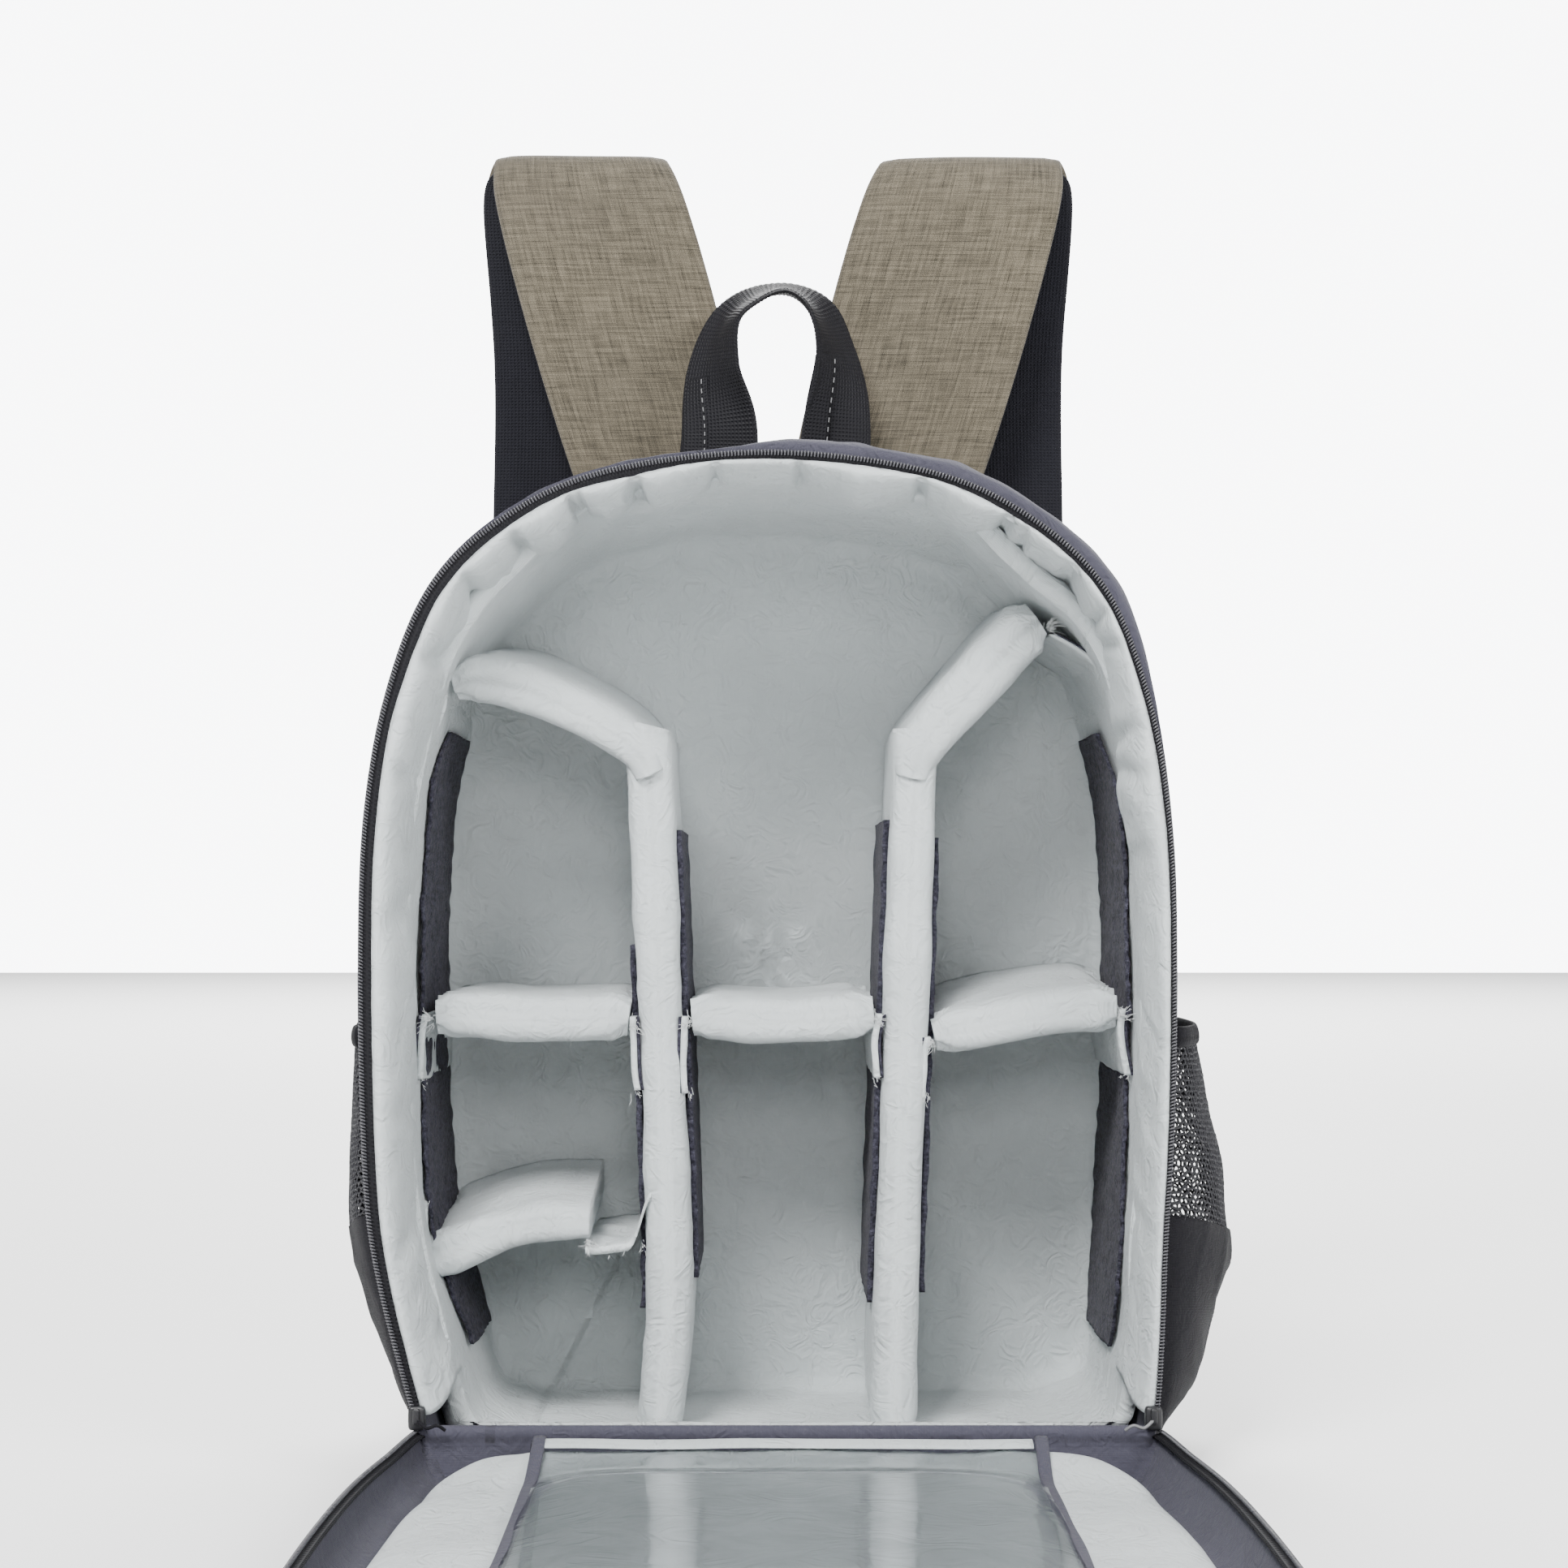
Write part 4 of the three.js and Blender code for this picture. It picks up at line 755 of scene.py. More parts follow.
def buildRim():
    share = archShares(rim["columns"])[None, :]
    along = np.linspace(0, 1, 26)[:, None]
    inset, back, puff = rimShape(share, along)
    top = bodyPoint(share, body["frontY"] + back, inset, lining["floor"] * ease(along * 1.6))
    outward = normalsOf(top)
    top = top - outward * puff[..., None]
    thick = rim["pad"] * (0.3 + 0.7 * np.sin(np.pi * np.clip(along, 0.02, 0.98)) ** 0.5) * np.ones_like(share)
    addPiece("paddedRim", sheetParts(top, top + outward * thick[..., None]), "lining", ["rim"])


# The lining is a padded tub; its inner face carries soft creases

lining = {
    "inset": 15.4 * mm,
    "topInset": 6 * mm,
    "rightInset": 6 * mm,      # how much less on the right
    "floor": 11.4 * mm,
    "backY": 62.6 * mm,
    "frontY": -66 * mm,
    "wall": 8 * mm,
    "corner": 7 * mm,
    "ripple": 1.1 * mm,
}


def buildLining():
    slim = ease((0.2 - np.abs(ringShare - 0.5)) / 0.1)
    right = window(ringShare, 0.72, 0.98, 0.06) * (ringBase == 0)
    inset = mix(lining["inset"], lining["topInset"], slim) - lining["rightInset"] * right
    floor, backY, corner = lining["floor"], lining["backY"], lining["corner"]
    across = ringShare + ringBase * 0.3

    def insetAt(y):
        # the top follows the body's taper, so that the lining stays inside the outer cloth
        return np.maximum(inset, mix(inset, taperAt(y) + 5.8 * mm, slim))

    face = ringRow(backY + lining["wall"], inset, floor)
    rows = [toMiddle(face, share) for share in (0.8, 0.4, 0.05)]
    for y in np.linspace(backY + 6 * mm, lining["frontY"] + 34 * mm, 8):
        rows.append(ringRow(y, np.maximum(taperAt(y) + 3 * mm, 3 * mm), 3 * mm))
    rows.append(ringRow(lining["frontY"] + 22 * mm, np.maximum(inset - 6 * mm, 3.4 * mm), 8 * mm, 20 * mm))
    for y in np.linspace(lining["frontY"] + 24 * mm, backY - corner, 30):
        ring = ringRow(y, insetAt(y), floor)
        wave = ripples(across, ring[:, 1], 0.05, 21) + 0.5 * creases(across, ring[:, 1], 0.05 * 1.6, 22)
        rows.append(pushOut(ring, -(lining["ripple"] * 0.6) * wave))
    for turn in np.linspace(0, math.pi / 2, 7)[1:]:
        edge = corner * (1 - math.cos(turn))
        y = backY - corner * (1 - math.sin(turn))
        rows.append(ringRow(y, insetAt(y) + edge, floor + edge))
    face = ringRow(backY, insetAt(backY) + corner, floor + corner)
    for share in np.linspace(0, 0.97, 30)[1:]:
        ring = toMiddle(face, share)
        ring[:, 1] -= lining["ripple"] * ripples(ring[:, 0], ring[:, 2], 0.07, 25)
        rows.append(ring)
    addPiece("liningTub", cupParts(rows), "lining", ["lining"])


# Sliders with their cord tails, places and sizes in mm

slider = {"width": 6.5, "length": 9, "height": 4, "cord": 1.3}


def curved(values):
    return np.sign(values) * np.abs(values) ** 0.38


def blockParts(centre, size):
    # a rounded block: a ball pressed into a box
    u = np.linspace(0, 2 * math.pi, 25)[:-1]
    v = np.linspace(-math.pi / 2, math.pi / 2, 13)
    x = curved(np.cos(v))[:, None] * curved(np.cos(u))[None]
    y = curved(np.cos(v))[:, None] * curved(np.sin(u))[None]
    z = np.broadcast_to(curved(np.sin(v))[:, None], x.shape)
    points = np.stack([x, y, z], -1) * np.array(size) / 2 + np.array(centre)
    return points.reshape(-1, 3), ringFaces(*x.shape, closed=False), np.zeros((x.size, 2))


def buildSliders():
    for side, share, turn in (("left", hingeShare, 1), ("right", 1 - hingeShare, -1)):
        seat = bodyPoint(np.array([share]), body["frontY"], zipper["teethInset"] + 1.5 * mm)[0]
        middle = seat + [0, -0.4 * mm, -1 * mm]
        size = np.array([slider["width"], slider["height"], slider["length"]]) * mm
        blocks = [blockParts(middle, size),
                  blockParts(middle + [0, -2 * mm, 1 * mm], np.array([2.6, 2, 6]) * mm)]
        addPiece(f"slider_{side}_body", joined(blocks), "plastic", [f"slider_{side}"])
        tail = seat + mm * np.array([
            (0, -2.6, -1), (turn * 4, -4, -4), (turn * 8, -4.4, -3), (turn * 11, -3.4, -5)])
        cord = tubeParts(spline(tail, 10), slider["cord"] / 2 * mm, 8)
        addPiece(f"slider_{side}_tail", cord, "tail" if side == "right" else "black")


buildShell()
buildPiping()
buildZip()
buildRim()
buildLining()
buildSliders()
print("body, zip, rim and lining built")


# Inside of the body

inside = {
    "frontY": -28.1 * mm,
    "backY": 62.2 * mm,
    "pad": 18 * mm,
    "roll": 13 * mm,
    "tabPad": 2.4 * mm,
    "velvetPad": 1.4 * mm,
    "velvetLow": 42 * mm,
    "velvetHigh": 290 * mm,
    "wrinkle": 0.7 * mm,
}


def wallX(height, side):
    # the inner face of a side wall of the lining, behind the rim
    up = (height - lining["floor"]) / (body["height"] - lining["inset"] - lining["floor"])
    inset = lining["inset"] - (lining["rightInset"] if side > 0 else 0)
    return side * -archXAt(shareAtUp(up)) * (body["halfWidth"] - inset) + leanAt(up)


# Loop bands on the side walls: share of the band, share of the depth given up at the front
velvetRows = [
    (0, 0.3), (0.05, 0.16), (0.12, 0.08), (0.22, 0.03), (0.3, 0.02), (0.38, 0.07), (0.45, 0.13),
    (0.52, 0.09), (0.6, 0.03), (0.68, 0.08), (0.75, 0.15), (0.82, 0.1), (0.9, 0.05), (1, 0.34),
]


def buildVelvetWalls():
    table = np.array(velvetRows)
    for side, name in ((-1, "left"), (1, "right")):
        at = np.linspace(0, 1, 220)[:, None]
        height = mix(inside["velvetLow"], inside["velvetHigh"], at)
        ragged = raggedEdge(np.random.default_rng(31 + side), 0.012, 220, 3)
        front = np.interp(at + 0.02 * side, table[:, 0], table[:, 1]) + ragged
        y = mix(inside["frontY"], inside["backY"], front + (0.95 - front) * np.linspace(0, 1, 26)[None, :])
        lift = 1.2 * mm + 0.6 * mm * ripples(height, y, 0.05, 33) + inside["velvetPad"]
        lift = lift + 0.5 * mm * ripples(height, y, 0.012, 34)
        top = np.stack(np.broadcast_arrays(wallX(height, side) - side * lift, y, height), -1)
        parts = sheetParts(top, top + np.array([side * inside["velvetPad"], 0, 0]))
        addPiece(f"loopBand_{name}", parts, "velvet", [f"velvet_wall_{name}"])


# Upright dividers: middle lines as place and height in mm
uprightLines = {
    "left": [(-43, 13), (-40.5, 40), (-38.9, 70), (-40, 114), (-43.3, 192), (-45.5, 250), (-47, 284),
             (-46.5, 291)],
    "right": [(50, 13), (50.8, 60), (53.2, 129), (56.4, 223), (58.1, 274), (58.4, 284), (58.4, 290)],
}


def padLine(rows, count):
    line = spline(np.array(rows, float) * mm, 24)
    far = lengthsAlong(line)
    at = np.linspace(0, far[-1], count)
    return np.stack([np.interp(at, far, line[:, k]) for k in range(line.shape[1])], -1)


def dividerParts(line, thick, seed, tilt=0, ends=(1, 1), front=0.0):
    # line is the middle line seen from the front, thick the thickness along it
    # and ends the strength of the pinch at either end
    back = np.concatenate([1 - np.cos(np.linspace(0, math.pi / 2, 14)), np.linspace(1, 7, 18)[1:]])
    deep = (inside["backY"] - inside["frontY"]) / inside["roll"]
    back = np.where(back > 1, 1 + (back - 1) / 6 * (deep - 1), back)[:, None]
    rounded = np.clip(1 - np.clip(1 - back, 0, 1) ** 3.6, 0, 1) ** (1 / 3.6)
    profile = np.where(back < 1, rounded, 1 - 0.1 * (back - 1) / deep)
    far = lengthsAlong(line)[None, :]
    nearStart, nearEnd = far / (4.5 * mm), (far[0, -1] - far) / (4.5 * mm)
    pinch = (1 - 0.3 * ends[0] * np.exp(-nearStart ** 2)) * (1 - 0.3 * ends[1] * np.exp(-nearEnd ** 2))
    pucker = ends[0] * np.exp(-(nearStart * 0.6) ** 2) + ends[1] * np.exp(-(nearEnd * 0.6) ** 2)
    half = profile * thick[None, :] / 2 * pinch
    y = inside["frontY"] + front + back * inside["roll"] + 6 * mm * (1 - pinch)
    y = y + 1.1 * mm * ripples(far, y * 0, 0.045, seed + 7)
    along = unit(np.gradient(line, axis=0))
    normal = np.stack([-along[:, 1], along[:, 0]], -1)
    middle = line[None] + np.array([0, tilt]) * (back / deep)[..., None]
    soft = inside["wrinkle"] * (ripples(far, y, 0.04, seed) + 0.8 * creases(far, y, 0.06, seed + 1))
    folds = 1.5 * mm * pucker * np.sin(2 * math.pi * (y / (9 * mm)) + seed)
    folds = folds + 0.8 * mm * pucker * np.sin(2 * math.pi * (y / (4.2 * mm)) + 2 * seed)
    faces = []
    for side, share in ((1, 0.7), (-1, 0.5)):
        rise = side * half + (soft * share * side + folds) * np.clip(profile, 0, 1)
        flat = middle + normal[None] * rise[..., None]
        faces.append(np.stack([flat[..., 0], np.broadcast_to(y, flat.shape[:2]), flat[..., 1]], -1))
    return sheetParts(*faces)


def tabParts(foot, tip, side, seed, swing):
    # a hook tab that hangs from a divider's end, its hook face toward the wall
    at = np.linspace(0, 1, 26)[:, None]
    y = np.linspace(inside["frontY"] + 1.5 * mm, inside["backY"] - 2 * mm, 22)[None, :]
    foot, tip = np.array(foot) * mm, np.array(tip) * mm
    x = mix(foot[0], tip[0], at) + side * swing * mm * np.sin(math.pi * at)
    x = x + 0.9 * mm * ripples(at * 0.03, y, 0.04, seed) * np.sin(math.pi * at)
    z = mix(foot[1], tip[1], at) + 0.8 * mm * ripples(at * 0.01, y, 0.03, seed + 2) * at
    top = np.stack(np.broadcast_arrays(x, y, z), -1)
    stops = [top + np.array([side * out, 0, 0]) for out in (
        0, inside["tabPad"], inside["tabPad"] + 0.15 * mm, inside["tabPad"] + 1.3 * mm)]
    return sheetParts(*stops[:2]), sheetParts(*stops[2:])


def frayParts(where, toward, seed, count=26, length=4.0, spread=2.2):
    # short pale threads that stand out of a raw edge
    random = np.random.default_rng(seed)
    parts = []
    for _ in range(count):
        start = np.array(where) * mm + random.normal(0, 1, 3) * np.array([0.8, 1.6, 1.0]) * spread * 0.5 * mm
        way = np.array(toward, float) + random.normal(0, 0.55, 3)
        bend = random.normal(0, 0.4, 3)
        size = length * random.uniform(0.4, 1) * mm
        at = np.linspace(0, 1, 5)[:, None]
        parts.append(tubeParts(start + (way * at + bend * at ** 2) * size, 0.09 * mm, 4))
    return parts


# Cross dividers: the middle line seen from the front and the thickness along it, in mm, then
# how much higher the back lies, the pinch of either end, how far forward the front stands, the
# tabs (foot, tip, side of the hook face, swing) and where the ends are frayed, and which way
crossDividers = {
    "divider_upper_left": {
        "line": [(-124, 306), (-115, 308.5), (-100, 306.5), (-80, 298.5), (-62, 288.5), (-51, 280),
                 (-46.5, 271)],
        "thick": [13, 18, 20, 19, 17, 15, 13], "tilt": 13, "ends": (1, 0), "front": -1.5,
        "tabs": [((-127, 305), (-131.5, 287), -1, -1.5)],
        "fray": [((-127, -27, 303), (-0.8, -0.3, -0.2))],
    },
    "divider_upper_right": {
        "line": [(57, 270), (60, 281), (71, 295), (83, 308), (94, 320.5), (102, 328.5), (107, 332)],
        "thick": [14, 19, 20.5, 21.5, 22.5, 22, 17], "tilt": 8, "ends": (0, 1), "front": -1.5,
        "tabs": [((111, 327), (133, 311), 1, 2)],
        "fray": [((111, -27, 330), (0.9, -0.3, 0.1))],
    },
    "divider_left_mid": {
        "line": [(-131, 176), (-118, 176.5), (-98, 175), (-78, 175), (-62, 175.5), (-55, 175)],
        "thick": [17, 18, 18, 18.5, 18, 17], "tilt": 2, "ends": (1, 1), "front": 0,
        "tabs": [((-134, 177), (-136, 151), -1, 1), ((-54.5, 176), (-52.5, 147), 1, -1)],
        "fray": [((-133, -27, 175), (-0.8, -0.4, -0.2)), ((-54, -27, 173), (0.8, -0.4, -0.2))],
    },
    "divider_middle_mid": {
        "line": [(-30, 175), (-22, 175.5), (-4, 174), (16, 174.5), (34, 176), (42, 176.5)],
        "thick": [16, 18, 18, 18, 18, 16], "tilt": 2, "ends": (1, 1), "front": 0,
        "tabs": [((-31.5, 176), (-31.5, 146), -1, 1), ((43, 177), (42, 152), 1, -1)],
        "fray": [((-31, -27, 174), (-0.6, -0.4, -0.3)), ((42.5, -27, 175), (0.6, -0.4, -0.2))],
    },
    "divider_right_mid": {
        "line": [(66, 168), (78, 170.5), (96, 174), (114, 177), (130, 178), (138, 178)],
        "thick": [14, 17, 17.5, 17.5, 17, 15], "tilt": 9, "ends": (1, 1), "front": 0,
        "tabs": [((64.5, 168), (62.5, 144), -1, 1), ((139, 179), (141, 153), 1, -1.5)],
        "fray": [((65, -27, 166), (-0.7, -0.4, -0.3)), ((138.5, -27, 177), (0.8, -0.4, 0.1))],
    },
    "divider_left_low": {
        "line": [(-132, 79), (-122, 83.5), (-106, 90), (-90, 93.5), (-78, 94), (-70.5, 94)],
        "thick": [19, 18, 16, 15, 14, 13], "tilt": 10, "ends": (0.7, 0), "front": 0,
        "tabs": [((-133, 74), (-134.5, 103), -1, 1)],
        "fray": [((-133, -27, 78), (-0.9, -0.4, 0.2)), ((-70.5, -27, 87), (0.3, -0.5, -0.8))],
    },
}


def finishDivider(name, parts, hooks, frays):
    addPiece(name + "_pad", joined(parts), "lining", [name])
    for number, hook in enumerate(hooks):
        addPiece(f"{name}_hook{number}", hook, "velvet")
    addPiece(f"{name}_fray", joined(frays), "fray")


def buildDividers():
    for seed, (name, rows) in enumerate(uprightLines.items()):
        thick = inside["pad"] * (1 + 0.03 * np.sin(np.linspace(0, 9, 170) + seed))
        parts = [dividerParts(padLine(rows, 170), thick, 41 + seed, ends=(0.5, 0.25))]
        frays = frayParts((rows[0][0], -27, 15), (0, -0.5, -0.6), 61 + seed, 14, 3)
        finishDivider(f"divider_{name}", parts, [], frays)
    for seed, (name, look) in enumerate(crossDividers.items()):
        line = padLine(look["line"], 110)
        far, stops = lengthsAlong(line), lengthsAlong(np.array(look["line"], float) * mm)
        thick = np.interp(far / far[-1], stops / stops[-1], look["thick"]) * mm
        tilt, front = look["tilt"] * mm, look["front"] * mm
        parts = [dividerParts(line, thick, 51 + 3 * seed, tilt, look["ends"], front)]
        hooks, frays = [], []
        for k, (foot, tip, side, swing) in enumerate(look["tabs"]):
            tab, hook = tabParts(foot, tip, side, 71 + seed + 5 * k, swing)
            parts.append(tab)
            hooks.append(hook)
            frays += frayParts((tip[0], -26, tip[1]), (side * 0.3, -0.5, -0.8), 91 + seed + k, 10, 2.2)
        for k, (where, toward) in enumerate(look["fray"]):
            frays += frayParts(where, toward, 111 + seed + 7 * k)
        if name == "divider_left_low":
            parts.append(lowTab())
            for x in (-69, -63, -56, -49):
                frays += frayParts((x, -27, 85.5), (0, -0.4, -1), -x, 9, 2)
        finishDivider(name, parts, hooks, frays)


def lowTab():
    # the flat tab that bridges the notch between the low divider and the upright
    at = np.linspace(0, 1, 60)[None, :]
    y = np.linspace(inside["frontY"] + 1 * mm, inside["backY"] - 4 * mm, 22)[:, None]
    x = mix(-72, -46, at) * mm
    z = (86.5 + 20 * ease((at - 0.55) / 0.45) ** 2) * mm + 1.2 * mm * ripples(x, y, 0.03, 77)
    top = np.stack(np.broadcast_arrays(x, y, z), -1)
    return sheetParts(top, top - np.array([0, 0, 3 * mm]))


# Loop strips on the faces of the uprights: which upright, side, from and to in mm
velvetStrips = {
    "velvet_left_outer": ("left", -1, 60, 204),
    "velvet_left_inner": ("left", 1, 72, 250),
    "velvet_right_inner": ("right", -1, 62, 254),
    "velvet_right_outer": ("right", 1, 66, 247),
}


def buildVelvetStrips():
    for seed, (name, (upright, side, low, high)) in enumerate(velvetStrips.items()):
        line = padLine(uprightLines[upright], 170)
        height = np.linspace(low, high, 150)[:, None] * mm
        ragged = raggedEdge(np.random.default_rng(seed + 5), 0.7, 150, 5) * mm
        front = inside["frontY"] + 0.75 * inside["roll"] + ragged + 2.5 * mm * ripples(height, 0, 0.08, seed)
        y = mix(front, inside["backY"] - 1 * mm, np.linspace(0, 1, 12)[None, :])
        lift = inside["pad"] / 2 + 0.9 * mm + 0.4 * mm * ripples(height, y, 0.02, seed + 9)
        x = np.interp(height, line[:, 1], line[:, 0]) + side * lift
        top = np.stack(np.broadcast_arrays(x, y, height), -1) + np.array([side * inside["velvetPad"], 0, 0])
        parts = sheetParts(top, top - np.array([side * inside["velvetPad"] * 1.6, 0, 0]))
        addPiece(name + "_loops", parts, "velvet", [name])


buildVelvetWalls()
buildDividers()
buildVelvetStrips()
print("dividers and loop bands built")


# Shoulder straps: a khaki face and a black mesh face that turn over behind the bag

strap = {
    "width": 81 * mm,
    "reach": 36 * mm,
    "shift": 3.5 * mm,
    "pad": 5 * mm,
    "clear": 5.6 * mm,
    "endRow": 10,
    "adjuster": 0.45,        # its length as a share of one row
    "webbing": 25 * mm,
    "webbingPad": 1.8 * mm,
}
# share of the height, share of half the width, share of the reach behind the bag, share of the width
strapRows = [
    (0.952, 0.235, 0, 0.84), (1.01, 0.293, 0.1, 0.96), (1.13, 0.378, 0.2, 1.03), (1.27, 0.474, 0.22, 1.05),
    (1.355, 0.532, 0.3, 1.02), (1.393, 0.56, 0.56, 0.94), (1.355, 0.575, 0.86, 1.02), (1.18, 0.545, 1, 1.03),
    (1, 0.555, 1, 1), (0.82, 0.58, 0.95, 0.94), (0.68, 0.6, 0.84, 0.74), (0.5, 0.625, 0.66, 0.74),
    (0.3, 0.65, 0.45, 0.74), (0.2, 0.66, 0.24, 0.74), (0.135, 0.665, 0, 0.74), (0.085, 0.67, 0, 0.74),
]


def strapLine(side, first, last, count):
    # middle line, sideways and outward directions and the width between two rows
    rows = np.array(strapRows)
    out = side * rows[:, 1] * body["halfWidth"] + strap["shift"]
    clear = np.where(np.arange(len(rows)) < strap["endRow"], strap["clear"], 1.7 * mm)
    y = body["backY"] + np.maximum(clear, rows[:, 2] * strap["reach"])
    line = spline(np.stack([out, y, rows[:, 0] * body["height"], rows[:, 3]], -1), 30)
    row = np.linspace(0, len(rows) - 1, len(line))
    at = np.linspace(first, last, count)
    line = np.stack([np.interp(at, row, line[:, k]) for k in range(4)], -1)
    centre = line[:, :3]
    sideways = np.tile([1.0, 0, 0], (count, 1))
    outward = unit(np.cross(sideways, unit(np.gradient(centre, axis=0))))
    return centre, sideways, outward, line[:, 3] * strap["width"]


def bandParts(centre, sideways, outward, wide, near, far, columns=26, soft=0.0, seed=1, power=10):
    # a padded band along a line, with rounded edges
    across = np.sin(np.linspace(-1, 1, columns) * math.pi / 2)[None, :, None]
    edge = np.clip(1 - np.abs(across) ** power, 0, 1) ** 0.5
    middle, half = (near + far) / 2, (far - near) / 2
    flat = centre[:, None] + sideways[:, None] * across * (wide / 2)[:, None, None]
    wave = soft * ripples(lengthsAlong(centre)[:, None], across[..., 0] * 0.04, 0.07, seed)[..., None]
    sunk = -0.16 * half * np.exp(-((np.abs(across) - 0.9) / 0.035) ** 2)     # the seam beside the edge
    top = flat + outward[:, None] * (middle + (half + sunk) * edge + wave)
    return sheetParts(top, flat + outward[:, None] * (middle - half * edge + wave))


def buildStraps():
    for side, name in ((-1, "left"), (1, "right")):
        centre, sideways, outward, wide = strapLine(side, 0, strap["endRow"], 170)
        at = np.arange(170)
        wide = wide * (1.05 if side > 0 else 1) * (1 - 0.12 * np.exp(-at / 3) - 0.12 * np.exp(-at[::-1] / 3))
        waves = {"soft": 0.8 * mm, "seed": 5 + side}
        face = bandParts(centre, sideways, outward, wide, 0.1 * mm, strap["pad"], **waves)
        addPiece(f"strapFace_{name}", face, "khaki", [f"strap_{name}"])
        inner = bandParts(centre, sideways, outward, wide * 1.01, -strap["pad"], -0.1 * mm, **waves)
        addPiece(f"strapInner_{name}", inner, "mesh", [f"strap_mesh_{name}"])
        centre, sideways, outward, wide = strapLine(side, strap["endRow"] - 0.25, len(strapRows) - 1, 160)
        pad, narrow = strap["webbingPad"] / 2, np.full(160, strap["webbing"])
        parts = bandParts(centre, sideways, outward, narrow, -pad, pad, 16, 0.5 * mm, 8 + side)
        band = addPiece(f"webbingBand_{name}", parts, "webbing", [f"webbing_{name}"])
        buildAdjuster(side, name)


def buildAdjuster(side, name):
    # a ladder lock: two rails and three bars that the webbing runs through
    centre, sideways, outward, _ = strapLine(
        side, strap["endRow"] + 0.02, strap["endRow"] + strap["adjuster"], 9)
    along = unit(np.gradient(centre, axis=0))
    axes = np.stack([sideways[4], along[4], outward[4]])
    length = lengthsAlong(centre)[-1] / mm
    blocks = [((x, 0, 0), (3.4, length, 4.4)) for x in (-14.4, 14.4)]
    blocks += [((0, y * length, z), (26, 3.6, 3)) for y, z in ((-0.44, 1.8), (0, -1.9), (0.44, 1.8))]
    parts = []
    for where, size in blocks:
        points, faces, uv = blockParts(np.array(where) * mm, np.array(size) * mm)
        parts.append((points @ axes + centre[4], faces, uv))
    addPiece(f"ladderLock_{name}", joined(parts), "plastic", [f"adjuster_{name}"])


# Carrying handle of ribbed webbing: share of its span, share of its rise, twist in degrees
handle = {
    "width": 32 * mm,
    "pad": 2.4 * mm,
    "span": 48 * mm,
    "rise": 89 * mm,
    "y": 50 * mm,
    "seat": 391.5 * mm,
}
handleRows = [
    (-0.53, -0.08, 3), (-0.52, 0.1, 5), (-0.5, 0.35, 12), (-0.53, 0.63, 42), (-0.43, 0.86, 60),
    (-0.17, 0.97, 68), (0.12, 1, 70), (0.37, 0.9, 64), (0.53, 0.68, 50), (0.53, 0.38, 20),
    (0.5, 0.1, 6), (0.5, -0.08, 4),
]


def buildHandle():
    line = spline(handleRows, 26)
    count = len(line)
    centre = np.stack([
        strap["shift"] + line[:, 0] * handle["span"], np.full(count, handle["y"]),
        handle["seat"] + line[:, 1] * handle["rise"]], -1)
    turn = np.radians(line[:, 2])[:, None]
    deep = np.tile([0.0, 1.0, 0], (count, 1))
    outward = unit(np.cross(unit(np.gradient(centre, axis=0)), deep))
    wide = outward * np.cos(turn) + deep * np.sin(turn)
    thick = -outward * np.sin(turn) + deep * np.cos(turn)
    width = handle["width"] * (1 + 0.06 * np.sin(np.linspace(0, 14, count)))
    across = np.linspace(-1, 1, 24)[None, :, None]
    length = lengthsAlong(centre)
    cup = -2.2 * mm * (across ** 2) * np.sin(np.linspace(0, math.pi, count))[:, None, None]
    rib = 0.16 * mm * np.sin(length * 2 * math.pi / (1.9 * mm))[:, None, None]
    fold = 1.2 * mm * ripples(length[:, None], across[..., 0] * 0.016, 0.035, 14)[..., None]
    edge = np.clip(1 - np.abs(across) ** 12, 0, 1) ** 0.5
    middle = centre[:, None] + wide[:, None] * across * (width / 2)[:, None, None]
    half = handle["pad"] / 2
    top = middle + thick[:, None] * (cup + fold + (half + rib) * edge)
    under = middle + thick[:, None] * (cup + fold - (half + rib) * edge)
    addPiece("carryLoop", sheetParts(top, under), "webbing", ["handle"])
    # the folded inner edge of each leg, closed by a row of stitches
    parts, stitches = [], []
    columns = np.linspace(-1, 1, 12)[None, :, None]
    for first, last, shift, span, seamAt in ((2, 76, 0.58, 0.4, 2), (count - 80, count - 3, -0.6, 0.36, 10)):
        leg = slice(first, last)
        seat = middle[leg, 12][:, None] + wide[leg, None] * (shift + columns * span) * (handle["width"] / 2)
        swell = np.clip(1 - np.abs(columns) ** 4, 0, 1) ** 0.5 * (1.4 * mm + rib[leg])
        rise = seat - thick[leg, None] * (half + swell)
        parts.append(sheetParts(rise, seat - thick[leg, None] * half * 0.3))
        seam = seat[:, seamAt] - thick[leg] * (half + 1.5 * mm)
        for k in range(2, len(seam) - 3, 4):
            stitches.append(tubeParts(spline(seam[k:k + 3], 3), 0.28 * mm, 6))
    addPiece("carryLoop_folds", joined(parts), "webbing")
    addPiece("carryLoop_stitches", joined(stitches), "tail")


# Padded back with channels for air: share across or share of the height, thickness kept

backPad = {"pad": 9 * mm, "channel": 4.5 * mm, "low": 0.23, "high": 0.9}
backColumns = [(-1, 0), (-0.97, 0.55), (-0.88, 1), (-0.2, 1), (-0.08, 0.1), (0.08, 0.1), (0.2, 1), (0.88, 1),
               (0.97, 0.55), (1, 0)]
backRows = [(0.23, 0), (0.238, 0.55), (0.26, 1), (0.53, 1), (0.548, 0.1), (0.562, 0.1), (0.58, 1), (0.875, 1),
            (0.893, 0.55), (0.9, 0)]


